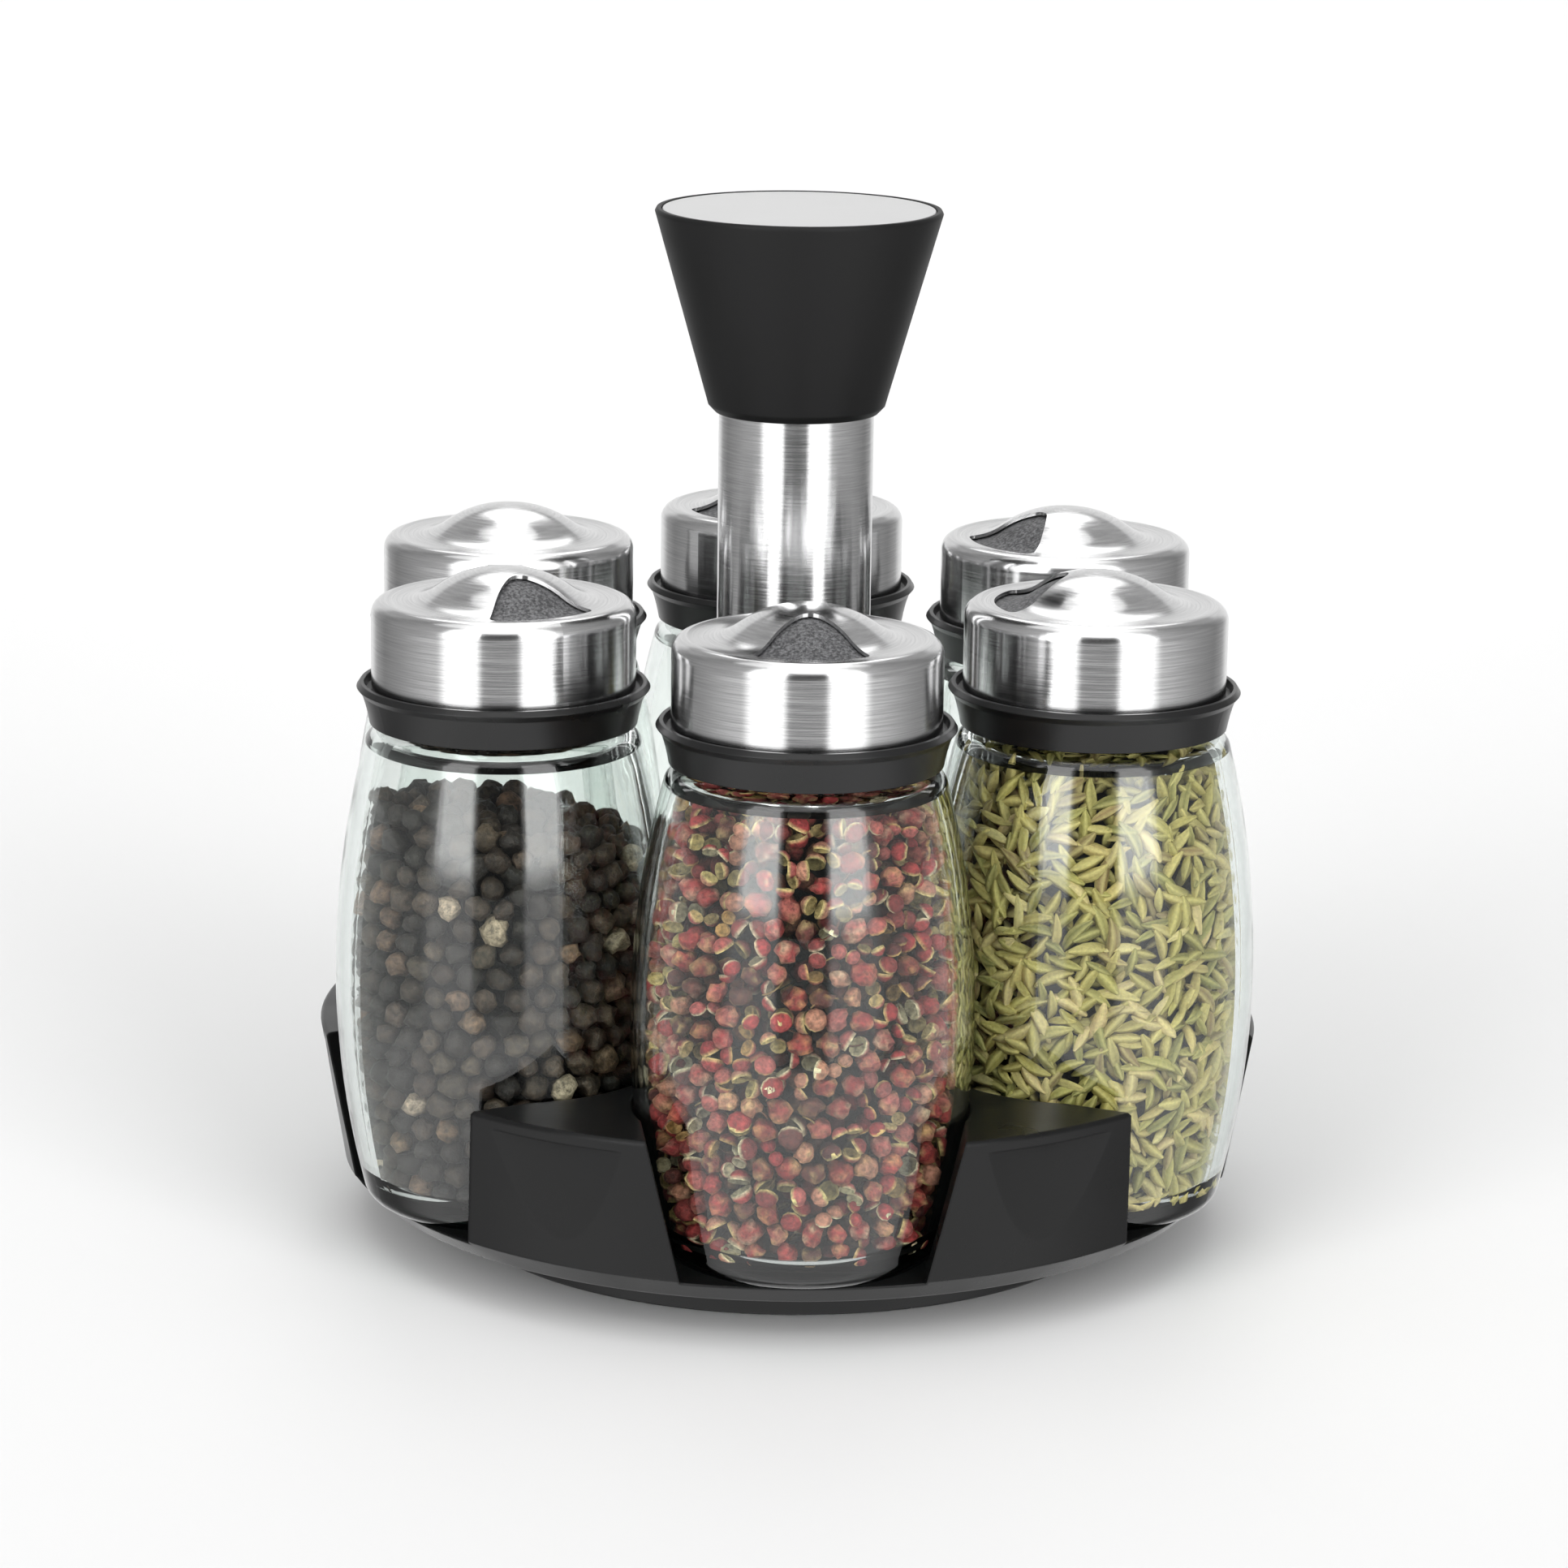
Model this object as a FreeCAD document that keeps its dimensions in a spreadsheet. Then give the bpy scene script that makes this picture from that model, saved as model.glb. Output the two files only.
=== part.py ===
import FreeCAD, Part
import math
import os

import Sketcher
from FreeCAD import Placement, Rotation, Vector

# Spice carousel: six glass jars with screw lids and turning steel caps, in the sockets of a tray
# that turns on a ball race in its foot. Millimetres, +Z up. The origin is on the table, on the axis
# that the carousel turns about. Jar 1 stands at the front, on -Y, and the jars are numbered
# anticlockwise seen from above.

DIMENSIONS = {
    "jar_count": 6,
    "ring_radius": 59.4,
    # tray
    "tray_bottom": 9.0,
    "tray_edge_radius": 76.7,
    "rim_level": 13.0,
    "rim_radius": 80.8,
    "divider_top": 38.5,
    "divider_radius": 85.0,
    "floor_level": 12.6,
    "socket_clearance": 0.5,
    "mouth_length": 30.0,
    "mouth_floor_half": 20.0,
    "mouth_top_half": 26.2,
    "moulding_wall": 2.2,
    "scoop_drop": 2.3,
    "scoop_run": 18.0,
    "scoop_depth": 1.6,
    "scoop_curve": 120.0,
    "hub_radius": 17.5,
    "rod_clearance_bore": 3.2,
    # jar
    "jar_bottom": 12.7,
    "jar_foot_radius": 21.0,
    "heel_level": 16.2,
    "heel_curve": 4.2,
    "belly_level": 54.0,
    "belly_radius": 29.45,
    "lower_curve": 153.0,
    "upper_curve": 165.0,
    "shoulder_level": 96.2,
    "shoulder_curve": 3.4,
    "neck_foot_level": 98.4,
    "neck_foot_radius": 20.6,
    "neck_radius": 18.9,
    "mouth_radius": 16.2,
    "mouth_level": 111.0,
    "glass_wall": 2.6,
    "glass_base": 4.0,
    # screw thread
    "thread_pitch": 4.0,
    "thread_turns": 1.0,
    "male_start": 102.2,
    "female_start": 100.4,
    "male_crest": 20.0,
    "female_crest": 19.3,
    "ridge_root_half": 0.75,
    "ridge_crest_half": 0.4,
    # lid
    "collar_bottom": 99.2,
    "collar_skirt_radius": 23.3,
    "collar_bore": 20.4,
    "flank_curve": 30.0,
    "lip_low_radius": 24.6,
    "lip_low_level": 104.3,
    "lip_radius": 25.5,
    "lip_mid_level": 105.4,
    "lip_top_radius": 24.9,
    "lip_top_level": 106.3,
    "lip_inner_radius": 24.2,
    "trough_radius": 23.8,
    "trough_level": 104.9,
    "upstand_radius": 22.0,
    "upstand_top": 118.6,
    "recess_radius": 20.8,
    "ledge_level": 112.3,
    "ledge_top": 114.0,
    "ledge_opening": 16.5,
    "seal_gap": 0.06,
    # shaker disc under the cap
    "disc_skirt_outer": 20.7,
    "disc_skirt_inner": 19.2,
    "disc_flange_radius": 21.2,
    "disc_seat_gap": 0.05,
    "disc_gap": 0.35,
    "disc_under_radius": 15.8,
    "disc_gauge": 1.4,
    "sprinkle_radius": 1.6,
    "sprinkle_spacing": 4.2,
    "sprinkle_centre": 9.9,
    "sprinkle_angle": 120.0,
    # steel cap
    "cap_bottom": 105.2,
    "cap_radius": 22.95,
    "cap_gauge": 0.6,
    "cap_edge_curve": 2.6,
    "cap_valley_radius": 18.2,
    "cap_valley_level": 120.55,
    "cap_crown_flat": 0.8,
    "cap_crown_level": 126.2,
    "cap_crown_curve": 19.0,
    "window_tip": 5.64,
    "window_tip_half": 1.85,
    "window_tip_curve": 3.0,
    "window_side_curve": 35.2,
    "window_corner": 13.6,
    "window_corner_half": 9.3,
    "window_corner_curve": 1.25,
    "window_end": 15.41,
    "window_end_half": 8.91,
    "window_reach": 17.8,
    # fills
    "fill_gap": 0.3,
    "fill_crown": 2.0,
    # column and knob
    "tube_radius": 13.8,
    "tube_wall": 1.0,
    "tube_bottom": 34.5,
    "plug_length": 12.0,
    "plug_gap": 0.05,
    "rod_radius": 3.0,
    "rod_bottom": 0.8,
    "rod_top": 164.0,
    "rod_chamfer": 0.6,
    "knob_bottom": 149.0,
    "knob_foot_radius": 14.6,
    "knob_low_radius": 15.75,
    "knob_low_level": 150.2,
    "knob_radius": 25.45,
    "knob_brow_level": 184.4,
    "knob_top": 185.0,
    "knob_brow": 0.3,
    "knob_floor": 152.5,
    "plate_seat_radius": 24.35,
    "plate_radius": 24.15,
    "plate_thickness": 1.1,
    "plate_seat_level": 183.8,
    "knob_cavity_radius": 22.2,
    "knob_cavity_floor_radius": 13.2,
    "boss_radius": 8.5,
    "insert_radius": 5.0,
    "insert_bottom": 151.0,
    "insert_top": 166.0,
    # foot and ball race
    "foot_top": 7.6,
    "foot_plate_bottom": 5.4,
    "foot_skirt_bottom": 0.9,
    "foot_low_radius": 60.6,
    "foot_radius": 62.4,
    "foot_brow_radius": 61.4,
    "foot_brow_level": 6.6,
    "foot_skirt_wall": 2.2,
    "foot_hole_radius": 5.15,
    "race_radius": 40.0,
    "race_half_width": 5.0,
    "race_rib_bottom": 4.2,
    "ball_radius": 2.0,
    "ball_level": 8.3,
    "ball_count": 12,
    "groove_clearance": 0.06,
    "cage_half_width": 3.5,
    "cage_bottom": 7.85,
    "cage_top": 8.75,
    "cage_hole_radius": 2.15,
    "pad_count": 6,
    "pad_ring_radius": 51.0,
    "pad_radius": 5.0,
    "pad_height": 1.6,
    "pad_boss_radius": 6.5,
    "bush_radius": 5.1,
    "bush_bore": 3.06,
    "bush_flange_radius": 8.0,
    "bush_flange_top": 8.4,
    "bush_bottom": 5.3,
    "washer_radius": 8.0,
    "washer_bottom": 4.5,
    "washer_top": 5.2,
    "nut_bottom": 1.0,
    "nut_corner_radius": 5.77,
}

# Which way each cap's window points, in degrees anticlockwise from the jar's outward direction.
WINDOW_TURNS = (0.0, -155.0, 180.0, 135.0, -60.0, 87.0)

# What stands in a jar, with the level that it reaches at the glass.
FILLS = {1: ("sichuan_pepper_fill", 92.5), 2: ("fennel_fill", 93.5), 6: ("peppercorn_fill", 86.5)}

V_AXIS = -2
H_AXIS = -1


class Size:
    """A number worked out from the sheet, with the expression that gives it."""

    def __init__(self, value, text):
        self.value = float(value)
        self.text = text

    def __float__(self):
        return self.value

    def join(self, other, sign, value):
        other_text = other.text if isinstance(other, Size) else "%.9f" % other
        return Size(value, "(%s %s %s)" % (self.text, sign, other_text))

    def __add__(self, other):
        return self.join(other, "+", self.value + float(other))

    def __sub__(self, other):
        return self.join(other, "-", self.value - float(other))

    def __mul__(self, other):
        return self.join(other, "*", self.value * float(other))

    def __truediv__(self, other):
        return self.join(other, "/", self.value / float(other))

    def root(self):
        return Size(math.sqrt(self.value), "sqrt(%s)" % self.text)


class Sheet:
    """The driving dimensions, read by name."""

    def __init__(self, document, values):
        self.cells = document.addObject("Spreadsheet::Sheet", "Dims")
        self.values = values
        for row, (name, value) in enumerate(values.items(), start=1):
            self.cells.set("A%d" % row, name)
            self.cells.set("B%d" % row, str(value))
            self.cells.setAlias("B%d" % row, name)

    def __getattr__(self, name):
        return Size(self.values[name], "Dims." + name)


document = FreeCAD.newDocument("SpiceCarousel")
dims = Sheet(document, DIMENSIONS)
document.recompute()
subparts = []


def bind(thing, name, size):
    """Ties a property to the sheet."""
    thing.setExpression(name, size.text)


def keep(thing, label):
    """Names a sub-part and puts it among those that are written out."""
    thing.Label = label
    subparts.append(thing)
    return thing


# ---- sketches


def sketch_on(body, name, role="XZ_Plane"):
    plane = [feature for feature in body.Origin.OriginFeatures if feature.Role == role][0]
    sketch = body.newObject("Sketcher::SketchObject", name)
    sketch.AttachmentSupport = [(plane, "")]
    sketch.MapMode = "FlatFace"
    return sketch


def pin(sketch, geometry, point, x, y):
    """Holds a sketch point at x, y from the sketch's origin."""
    for kind, size, axis in (("DistanceX", x, V_AXIS), ("DistanceY", y, H_AXIS)):
        if abs(float(size)) < 1e-9:
            sketch.addConstraint(Sketcher.Constraint("PointOnObject", geometry, point, axis))
            continue
        constraint = Sketcher.Constraint(kind, -1, 1, geometry, point, float(size))
        index = sketch.addConstraint(constraint)
        if isinstance(size, Size):
            sketch.setExpression("Constraints[%d]" % index, size.text)


def arc_middle(start, end, radius):
    """The middle of the short arc; a positive radius bulges to the right of the way from start to end."""
    chord = end - start
    half = chord.Length / 2
    rise = abs(radius) - math.sqrt(radius * radius - half * half)
    side = Vector(chord.y, -chord.x, 0).normalize()
    return (start + end) / 2 + side * math.copysign(rise, radius)


def add_edge(sketch, start, end, middle=None):
    """A line, or an arc through middle. Returns the edge and which of its points start and end are."""
    if middle is None:
        return sketch.addGeometry(Part.LineSegment(start, end)), 1, 2
    if (middle - start).cross(end - middle).z > 0:
        return sketch.addGeometry(Part.Arc(start, middle, end)), 1, 2
    return sketch.addGeometry(Part.Arc(end, middle, start)), 2, 1


def outline(sketch, corners):
    """A closed outline of corners (x, y). A third value makes the edge to the next corner an arc."""
    points = [Vector(float(corner[0]), float(corner[1]), 0) for corner in corners]
    ends = []
    for index, corner in enumerate(corners):
        start = points[index]
        end = points[(index + 1) % len(points)]
        middle = arc_middle(start, end, float(corner[2])) if len(corner) == 3 else None
        ends.append(add_edge(sketch, start, end, middle))
    for index, (edge, start_point, end_point) in enumerate(ends):
        next_edge, next_start, _ = ends[(index + 1) % len(ends)]
        sketch.addConstraint(Sketcher.Constraint("Coincident", edge, end_point, next_edge, next_start))
        pin(sketch, edge, start_point, corners[index][0], corners[index][1])
    for (edge, _, _), corner in zip(ends, corners):
        if len(corner) == 3:
            constraint = Sketcher.Constraint("Radius", edge, abs(float(corner[2])))
            index = sketch.addConstraint(constraint)
            if float(corner[2]) > 0:
                sketch.setExpression("Constraints[%d]" % index, corner[2].text)


def hole(sketch, x, y, radius):
    """A circle in a sketch."""
    centre = Vector(float(x), float(y), 0)
    edge = sketch.addGeometry(Part.Circle(centre, Vector(0, 0, 1), float(radius)))
    pin(sketch, edge, 3, x, y)
    index = sketch.addConstraint(Sketcher.Constraint("Radius", edge, float(radius)))
    sketch.setExpression("Constraints[%d]" % index, radius.text)


# ---- features


def revolve(body, name, corners, kind="PartDesign::Revolution"):
    sketch = sketch_on(body, name + "Outline")
    outline(sketch, corners)
    feature = body.newObject(kind, name)
    feature.Profile = sketch
    feature.ReferenceAxis = (sketch, ["V_Axis"])
    feature.Angle = 360
    return feature


def turned(name, corners):
    """A body turned about Z from its half section."""
    body = document.addObject("PartDesign::Body", name)
    revolve(body, "Turned", corners)
    return body


def helix(body, name, corners):
    """A one-start ridge wound round Z."""
    sketch = sketch_on(body, name + "Section")
    outline(sketch, corners)
    feature = body.newObject("PartDesign::AdditiveHelix", name)
    feature.Profile = sketch
    feature.ReferenceAxis = (sketch, ["V_Axis"])
    feature.Mode = 0
    bind(feature, "Pitch", dims.thread_pitch)
    bind(feature, "Height", dims.thread_pitch * dims.thread_turns)
    return feature


def through_pocket(body, name, sketch):
    """Cuts a sketch through the whole body, both ways."""
    feature = body.newObject("PartDesign::Pocket", name)
    feature.Profile = sketch
    feature.Type = "ThroughAll"
    feature.SideType = "Symmetric"
    return feature


def boolean(kind, name, base, tool):
    feature = document.addObject(kind, name)
    feature.Base = base
    feature.Tool = tool
    return feature


def fused(name, shapes):
    feature = document.addObject("Part::MultiFuse", name)
    feature.Shapes = shapes
    return feature


def cylinder(name, radius, bottom, top):
    feature = document.addObject("Part::Cylinder", name)
    bind(feature, "Radius", radius)
    bind(feature, "Height", top - bottom)
    bind(feature, "Placement.Base.z", bottom)
    return feature


# ---- places


def ring_angle(jar):
    """The direction of a jar from the axis, in degrees."""
    return -90.0 + 360.0 / dims.values["jar_count"] * (jar - 1)


def on_ring(thing, jar, turn=0.0):
    """Stands a sub-part on a jar's axis, its X axis pointing outwards and turned by some degrees."""
    angle = ring_angle(jar)
    thing.Placement = Placement(Vector(), Rotation(Vector(0, 0, 1), angle + turn))
    bind(thing, "Placement.Base.x", dims.ring_radius * math.cos(math.radians(angle)))
    bind(thing, "Placement.Base.y", dims.ring_radius * math.sin(math.radians(angle)))
    return thing


# ---- jar glass, and what is measured from it


def belly_at(level, curve, grow):
    """The jar's radius at a level on one of its two side curves, offset by grow."""
    reach = curve + grow
    drop = level - dims.belly_level
    return dims.belly_radius - curve + (reach * reach - drop * drop).root()


def jar_side(bottom, foot_radius, heel_level, top, grow):
    """The side of the jar from its foot to a level on its upper curve, offset by grow, going up."""
    lower = dims.lower_curve + grow
    upper = dims.upper_curve + grow
    return [
        (foot_radius, bottom, dims.heel_curve),
        (belly_at(heel_level, dims.lower_curve, grow), heel_level, lower),
        (dims.belly_radius + grow, dims.belly_level, upper),
        (belly_at(top, dims.upper_curve, grow), top),
    ]


def jar(number):
    outside = jar_side(dims.jar_bottom, dims.jar_foot_radius, dims.heel_level, dims.shoulder_level, 0.0)
    outside[-1] = outside[-1] + (dims.shoulder_curve,)
    body = turned("Jar%d" % number, [(0, dims.jar_bottom)] + outside + [
        (dims.neck_foot_radius, dims.neck_foot_level),
        (dims.neck_radius, dims.neck_foot_level + 0.3),
        (dims.neck_radius, dims.mouth_level),
        (0, dims.mouth_level),
    ])
    helix(body, "NeckThread", [
        (dims.neck_radius - 0.4, dims.male_start - dims.ridge_root_half),
        (dims.male_crest, dims.male_start - dims.ridge_crest_half),
        (dims.male_crest, dims.male_start + dims.ridge_crest_half),
        (dims.neck_radius - 0.4, dims.male_start + dims.ridge_root_half),
    ])
    floor = dims.jar_bottom + dims.glass_base
    inside = jar_side(
        floor, dims.jar_foot_radius - dims.glass_wall, floor + 3.2, dims.shoulder_level - 1.6, dims.glass_wall * -1.0
    )
    revolve(body, "Inside", [(0, floor)] + inside + [
        (dims.mouth_radius, dims.neck_foot_level),
        (dims.mouth_radius, dims.mouth_level + 1.0),
        (0, dims.mouth_level + 1.0),
    ], "PartDesign::Groove")
    return keep(on_ring(body, number), "jar_%d" % number)


class Inward(Size):
    """A radius whose arc bulges to the left of the way that the outline goes."""

    def __init__(self, size):
        super().__init__(-float(size), "(%s) * -1" % size.text)


def fill(number, name, level):
    """The heap inside a jar, a little clear of the glass."""
    grow = (dims.glass_wall + dims.fill_gap) * -1.0
    floor = dims.jar_bottom + dims.glass_base + dims.fill_gap
    heel = floor + 3.2
    top = Size(level, "%.3f" % level)
    body = turned("Fill%d" % number, [
        (0, floor),
        (dims.jar_foot_radius - 2.2, floor),
        (belly_at(heel, dims.lower_curve, grow), heel, dims.lower_curve + grow),
        (dims.belly_radius + grow, dims.belly_level, dims.upper_curve + grow),
        (belly_at(top, dims.upper_curve, grow), top),
        (0, top + dims.fill_crown),
    ])
    return keep(on_ring(body, number), name)


# ---- lid


def seal(number):
    bottom = dims.mouth_level + dims.seal_gap
    top = dims.ledge_level - dims.seal_gap
    body = turned("Seal%d" % number, [
        (dims.mouth_radius + 0.2, bottom),
        (dims.neck_radius, bottom),
        (dims.neck_radius, top),
        (dims.mouth_radius + 0.8, top),
    ])
    return keep(on_ring(body, number), "seal_%d" % number)


def lid_collar(number):
    body = turned("Collar%d" % number, [
        (dims.collar_bore, dims.collar_bottom),
        (dims.collar_skirt_radius, dims.collar_bottom, Inward(dims.flank_curve)),
        (dims.lip_low_radius, dims.lip_low_level),
        (dims.lip_radius, dims.lip_mid_level),
        (dims.lip_top_radius, dims.lip_top_level),
        (dims.lip_inner_radius, dims.lip_top_level),
        (dims.trough_radius, dims.trough_level),
        (dims.upstand_radius, dims.trough_level),
        (dims.upstand_radius, dims.upstand_top),
        (dims.recess_radius, dims.upstand_top),
        (dims.recess_radius, dims.ledge_top),
        (dims.ledge_opening, dims.ledge_top),
        (dims.ledge_opening, dims.ledge_level),
        (dims.collar_bore, dims.ledge_level),
    ])
    helix(body, "CollarThread", [
        (dims.collar_bore + 0.3, dims.female_start - dims.ridge_root_half),
        (dims.female_crest, dims.female_start - dims.ridge_crest_half),
        (dims.female_crest, dims.female_start + dims.ridge_crest_half),
        (dims.collar_bore + 0.3, dims.female_start + dims.ridge_root_half),
    ])
    return keep(on_ring(body, number), "lid_collar_%d" % number)


class Dome:
    """The bell shape that the cap and the disc under it share, some way below the cap's outer face."""

    def __init__(self, below):
        run = dims.cap_valley_radius - dims.cap_crown_flat
        rise = dims.cap_crown_level - dims.cap_valley_level
        both = (run * run + rise * rise) / (rise * 2.0)
        self.crown_curve = dims.cap_crown_curve - below
        self.valley_curve = both - dims.cap_crown_curve + below
        self.crown_level = dims.cap_crown_level - below
        self.valley_level = dims.cap_valley_level - below
        self.bend_radius = dims.cap_crown_flat + run * self.crown_curve / both
        centre = dims.cap_crown_level - dims.cap_crown_curve
        self.bend_level = centre + (both - rise) * self.crown_curve / both

    def level_at(self, radius):
        """The level on the outer curve, at a radius on either side of the valley."""
        across = radius - dims.cap_valley_radius
        return self.valley_level + self.valley_curve - (self.valley_curve * self.valley_curve - across * across).root()


def shaker_disc(number):
    """The dome under the cap, with sprinkle holes that the window uncovers when the cap is turned."""
    dome = Dome(dims.cap_gauge + dims.disc_gap)
    under = dome.valley_level - dims.disc_gauge
    body = turned("Disc%d" % number, [
        (0, dome.crown_level - dims.disc_gauge),
        (dims.disc_under_radius, under),
        (dims.disc_skirt_inner, under),
        (dims.disc_skirt_inner, dims.ledge_top + dims.disc_seat_gap),
        (dims.disc_skirt_outer, dims.ledge_top + dims.disc_seat_gap),
        (dims.disc_skirt_outer, dims.upstand_top),
        (dims.disc_flange_radius, dims.upstand_top),
        (dims.disc_flange_radius, dome.valley_level),
        (dims.cap_valley_radius, dome.valley_level, Inward(dome.valley_curve)),
        (dome.bend_radius, dome.bend_level, dome.crown_curve),
        (dims.cap_crown_flat, dome.crown_level),
        (0, dome.crown_level),
    ])
    sketch = sketch_on(body, "SprinkleHoles", "XY_Plane")
    hole(sketch, dims.sprinkle_centre, 0, dims.sprinkle_radius)
    for place in range(6):
        angle = math.radians(60 * place)
        hole(
            sketch,
            dims.sprinkle_centre + dims.sprinkle_spacing * math.cos(angle),
            dims.sprinkle_spacing * math.sin(angle),
            dims.sprinkle_radius,
        )
    through_pocket(body, "Sprinkle", sketch)
    turn = WINDOW_TURNS[number - 1] + dims.values["sprinkle_angle"]
    return keep(on_ring(body, number, turn), "shaker_disc_%d" % number)


def steel_cap(number):
    """The spun lid: a straight side, a rolled edge, a valley and a bell with a window cut through it."""
    gauge = dims.cap_gauge
    outer = Dome(0.0)
    inner = Dome(gauge)
    edge_radius = dims.cap_radius - dims.cap_edge_curve
    edge_level = outer.level_at(edge_radius)
    body = turned("Cap%d" % number, [
        (dims.cap_radius - gauge, dims.cap_bottom),
        (dims.cap_radius, dims.cap_bottom),
        (dims.cap_radius, edge_level - dims.cap_edge_curve, dims.cap_edge_curve),
        (edge_radius, edge_level, Inward(outer.valley_curve)),
        (outer.bend_radius, outer.bend_level, outer.crown_curve),
        (dims.cap_crown_flat, outer.crown_level),
        (0, outer.crown_level),
        (0, inner.crown_level),
        (dims.cap_crown_flat, inner.crown_level, Inward(inner.crown_curve)),
        (inner.bend_radius, inner.bend_level, inner.valley_curve),
        (edge_radius, inner.level_at(edge_radius), Inward(dims.cap_edge_curve - gauge)),
        (dims.cap_radius - gauge, edge_level - dims.cap_edge_curve),
    ])
    sketch = sketch_on(body, "WindowOutline", "XY_Plane")
    outline(sketch, [
        (dims.window_tip, dims.window_tip_half, dims.window_tip_curve),
        (dims.window_tip, dims.window_tip_half * -1.0, dims.window_side_curve),
        (dims.window_corner, dims.window_corner_half * -1.0, dims.window_corner_curve),
        (dims.window_end, dims.window_end_half * -1.0, dims.window_reach),
        (dims.window_end, dims.window_end_half, dims.window_corner_curve),
        (dims.window_corner, dims.window_corner_half, dims.window_side_curve),
    ])
    through_pocket(body, "Window", sketch)
    return keep(on_ring(body, number, WINDOW_TURNS[number - 1]), "steel_cap_%d" % number)


# ---- tray


def socket_side(grow):
    """The turned part of a socket: the jar's own outline, larger by grow, up past the divider."""
    bottom = dims.floor_level - grow + dims.socket_clearance
    top = dims.divider_top + 6.0
    return [
        (0, bottom),
        (dims.jar_foot_radius + grow, bottom, dims.heel_curve + grow),
        (belly_at(dims.heel_level, dims.lower_curve, grow), dims.heel_level, dims.lower_curve + grow),
        (belly_at(top, dims.lower_curve, grow), top),
        (0, top),
    ]


def mouth_section(name, level, near_half, far_half):
    """A trapezium at a level, from the jar's axis outwards along X."""
    sketch = document.addObject("Sketcher::SketchObject", name)
    outline(sketch, [
        (0, near_half * -1.0),
        (dims.mouth_length, far_half * -1.0),
        (dims.mouth_length, far_half),
        (0, near_half),
    ])
    bind(sketch, "Placement.Base.z", level)
    return sketch


def socket(name, number, grow):
    """The space of one jar and of the opening in front of it, both larger by grow."""
    turned_part = turned(name + "Round", socket_side(grow))
    bottom = dims.floor_level - grow + dims.socket_clearance
    top = dims.divider_top + 6.0
    mouth = document.addObject("Part::Loft", name + "Mouth")
    mouth.Sections = [
        mouth_section(name + "Low", bottom, dims.jar_foot_radius + grow, dims.mouth_floor_half + grow),
        mouth_section(name + "High", top, belly_at(top, dims.lower_curve, grow), dims.mouth_top_half + grow + 1.0),
    ]
    mouth.Solid = True
    mouth.Ruled = True
    return on_ring(fused(name, [turned_part, mouth]), number)


def scoop(number):
    """The shallow hollow in a divider's outer face: an upright cylinder that leans in towards its top."""
    slope = (dims.divider_radius - dims.rim_radius) / (dims.divider_top - dims.rim_level)
    top = dims.divider_top - dims.scoop_drop
    face = dims.divider_radius - slope * dims.scoop_drop
    top_reach = face - dims.scoop_depth
    lean = math.degrees(math.atan(float(slope) - float(dims.scoop_depth) / float(dims.scoop_run)))
    angle = ring_angle(number) + 180.0 / dims.values["jar_count"]
    feature = document.addObject("Part::Cylinder", "Scoop%d" % number)
    bind(feature, "Radius", dims.scoop_curve)
    bind(feature, "Height", dims.scoop_run * 1.6)
    spin = Rotation(Vector(0, 0, 1), angle)
    tilt = Rotation(Vector(0, 1, 0), 180.0 + lean)
    reach = top_reach + dims.scoop_curve * math.cos(math.radians(lean))
    feature.Placement = Placement(Vector(), spin.multiply(tilt))
    bind(feature, "Placement.Base.x", reach * math.cos(math.radians(angle)))
    bind(feature, "Placement.Base.y", reach * math.sin(math.radians(angle)))
    bind(feature, "Placement.Base.z", top - dims.scoop_curve * math.sin(math.radians(lean)))
    return feature


def ball_groove(name, level):
    """The ring that a race groove is cut with."""
    feature = document.addObject("Part::Torus", name)
    bind(feature, "Radius1", dims.race_radius)
    bind(feature, "Radius2", dims.ball_radius + dims.groove_clearance)
    bind(feature, "Placement.Base.z", level)
    return feature


def carousel_tray():
    wall = dims.moulding_wall
    jars = range(1, dims.values["jar_count"] + 1)
    blank = turned("TrayBlank", [
        (0, dims.tray_bottom),
        (dims.tray_edge_radius, dims.tray_bottom),
        (dims.rim_radius, dims.rim_level),
        (dims.divider_radius, dims.divider_top - 0.5),
        (dims.divider_radius - 0.5, dims.divider_top),
        (0, dims.divider_top),
    ])
    inside = turned("TrayInside", [
        (dims.hub_radius, dims.tray_bottom - 1.0),
        (dims.tray_edge_radius - wall, dims.tray_bottom - 1.0),
        (dims.rim_radius - wall, dims.rim_level - 0.4),
        (dims.divider_radius - wall, dims.divider_top - wall),
        (dims.hub_radius, dims.divider_top - wall),
    ])
    race = boolean(
        "Part::Cut", "RaceRing",
        cylinder("RaceOuter", dims.race_radius + dims.race_half_width, dims.tray_bottom - 1.0, dims.floor_level),
        cylinder("RaceInner", dims.race_radius - dims.race_half_width, dims.tray_bottom - 1.0, dims.floor_level),
    )
    grown = dims.socket_clearance + wall
    kept = fused("KeptInside", [race] + [socket("Shell%d" % number, number, grown) for number in jars])
    hollow = boolean("Part::Cut", "TrayHollow", inside, kept)
    bore = cylinder("TrayBore", dims.rod_clearance_bore, dims.tray_bottom - 1.0, dims.divider_top + 1.0)
    counterbore = cylinder("TubeSeat", dims.tube_radius + 0.05, dims.tube_bottom, dims.divider_top + 1.0)
    cutters = [socket("Socket%d" % number, number, dims.socket_clearance) for number in jars]
    cutters += [scoop(number) for number in jars]
    cutters += [hollow, bore, counterbore, ball_groove("UpperGroove", dims.ball_level)]
    return keep(boolean("Part::Cut", "Tray", blank, fused("TrayCutters", cutters)), "carousel_tray")


# ---- foot and ball race


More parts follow.
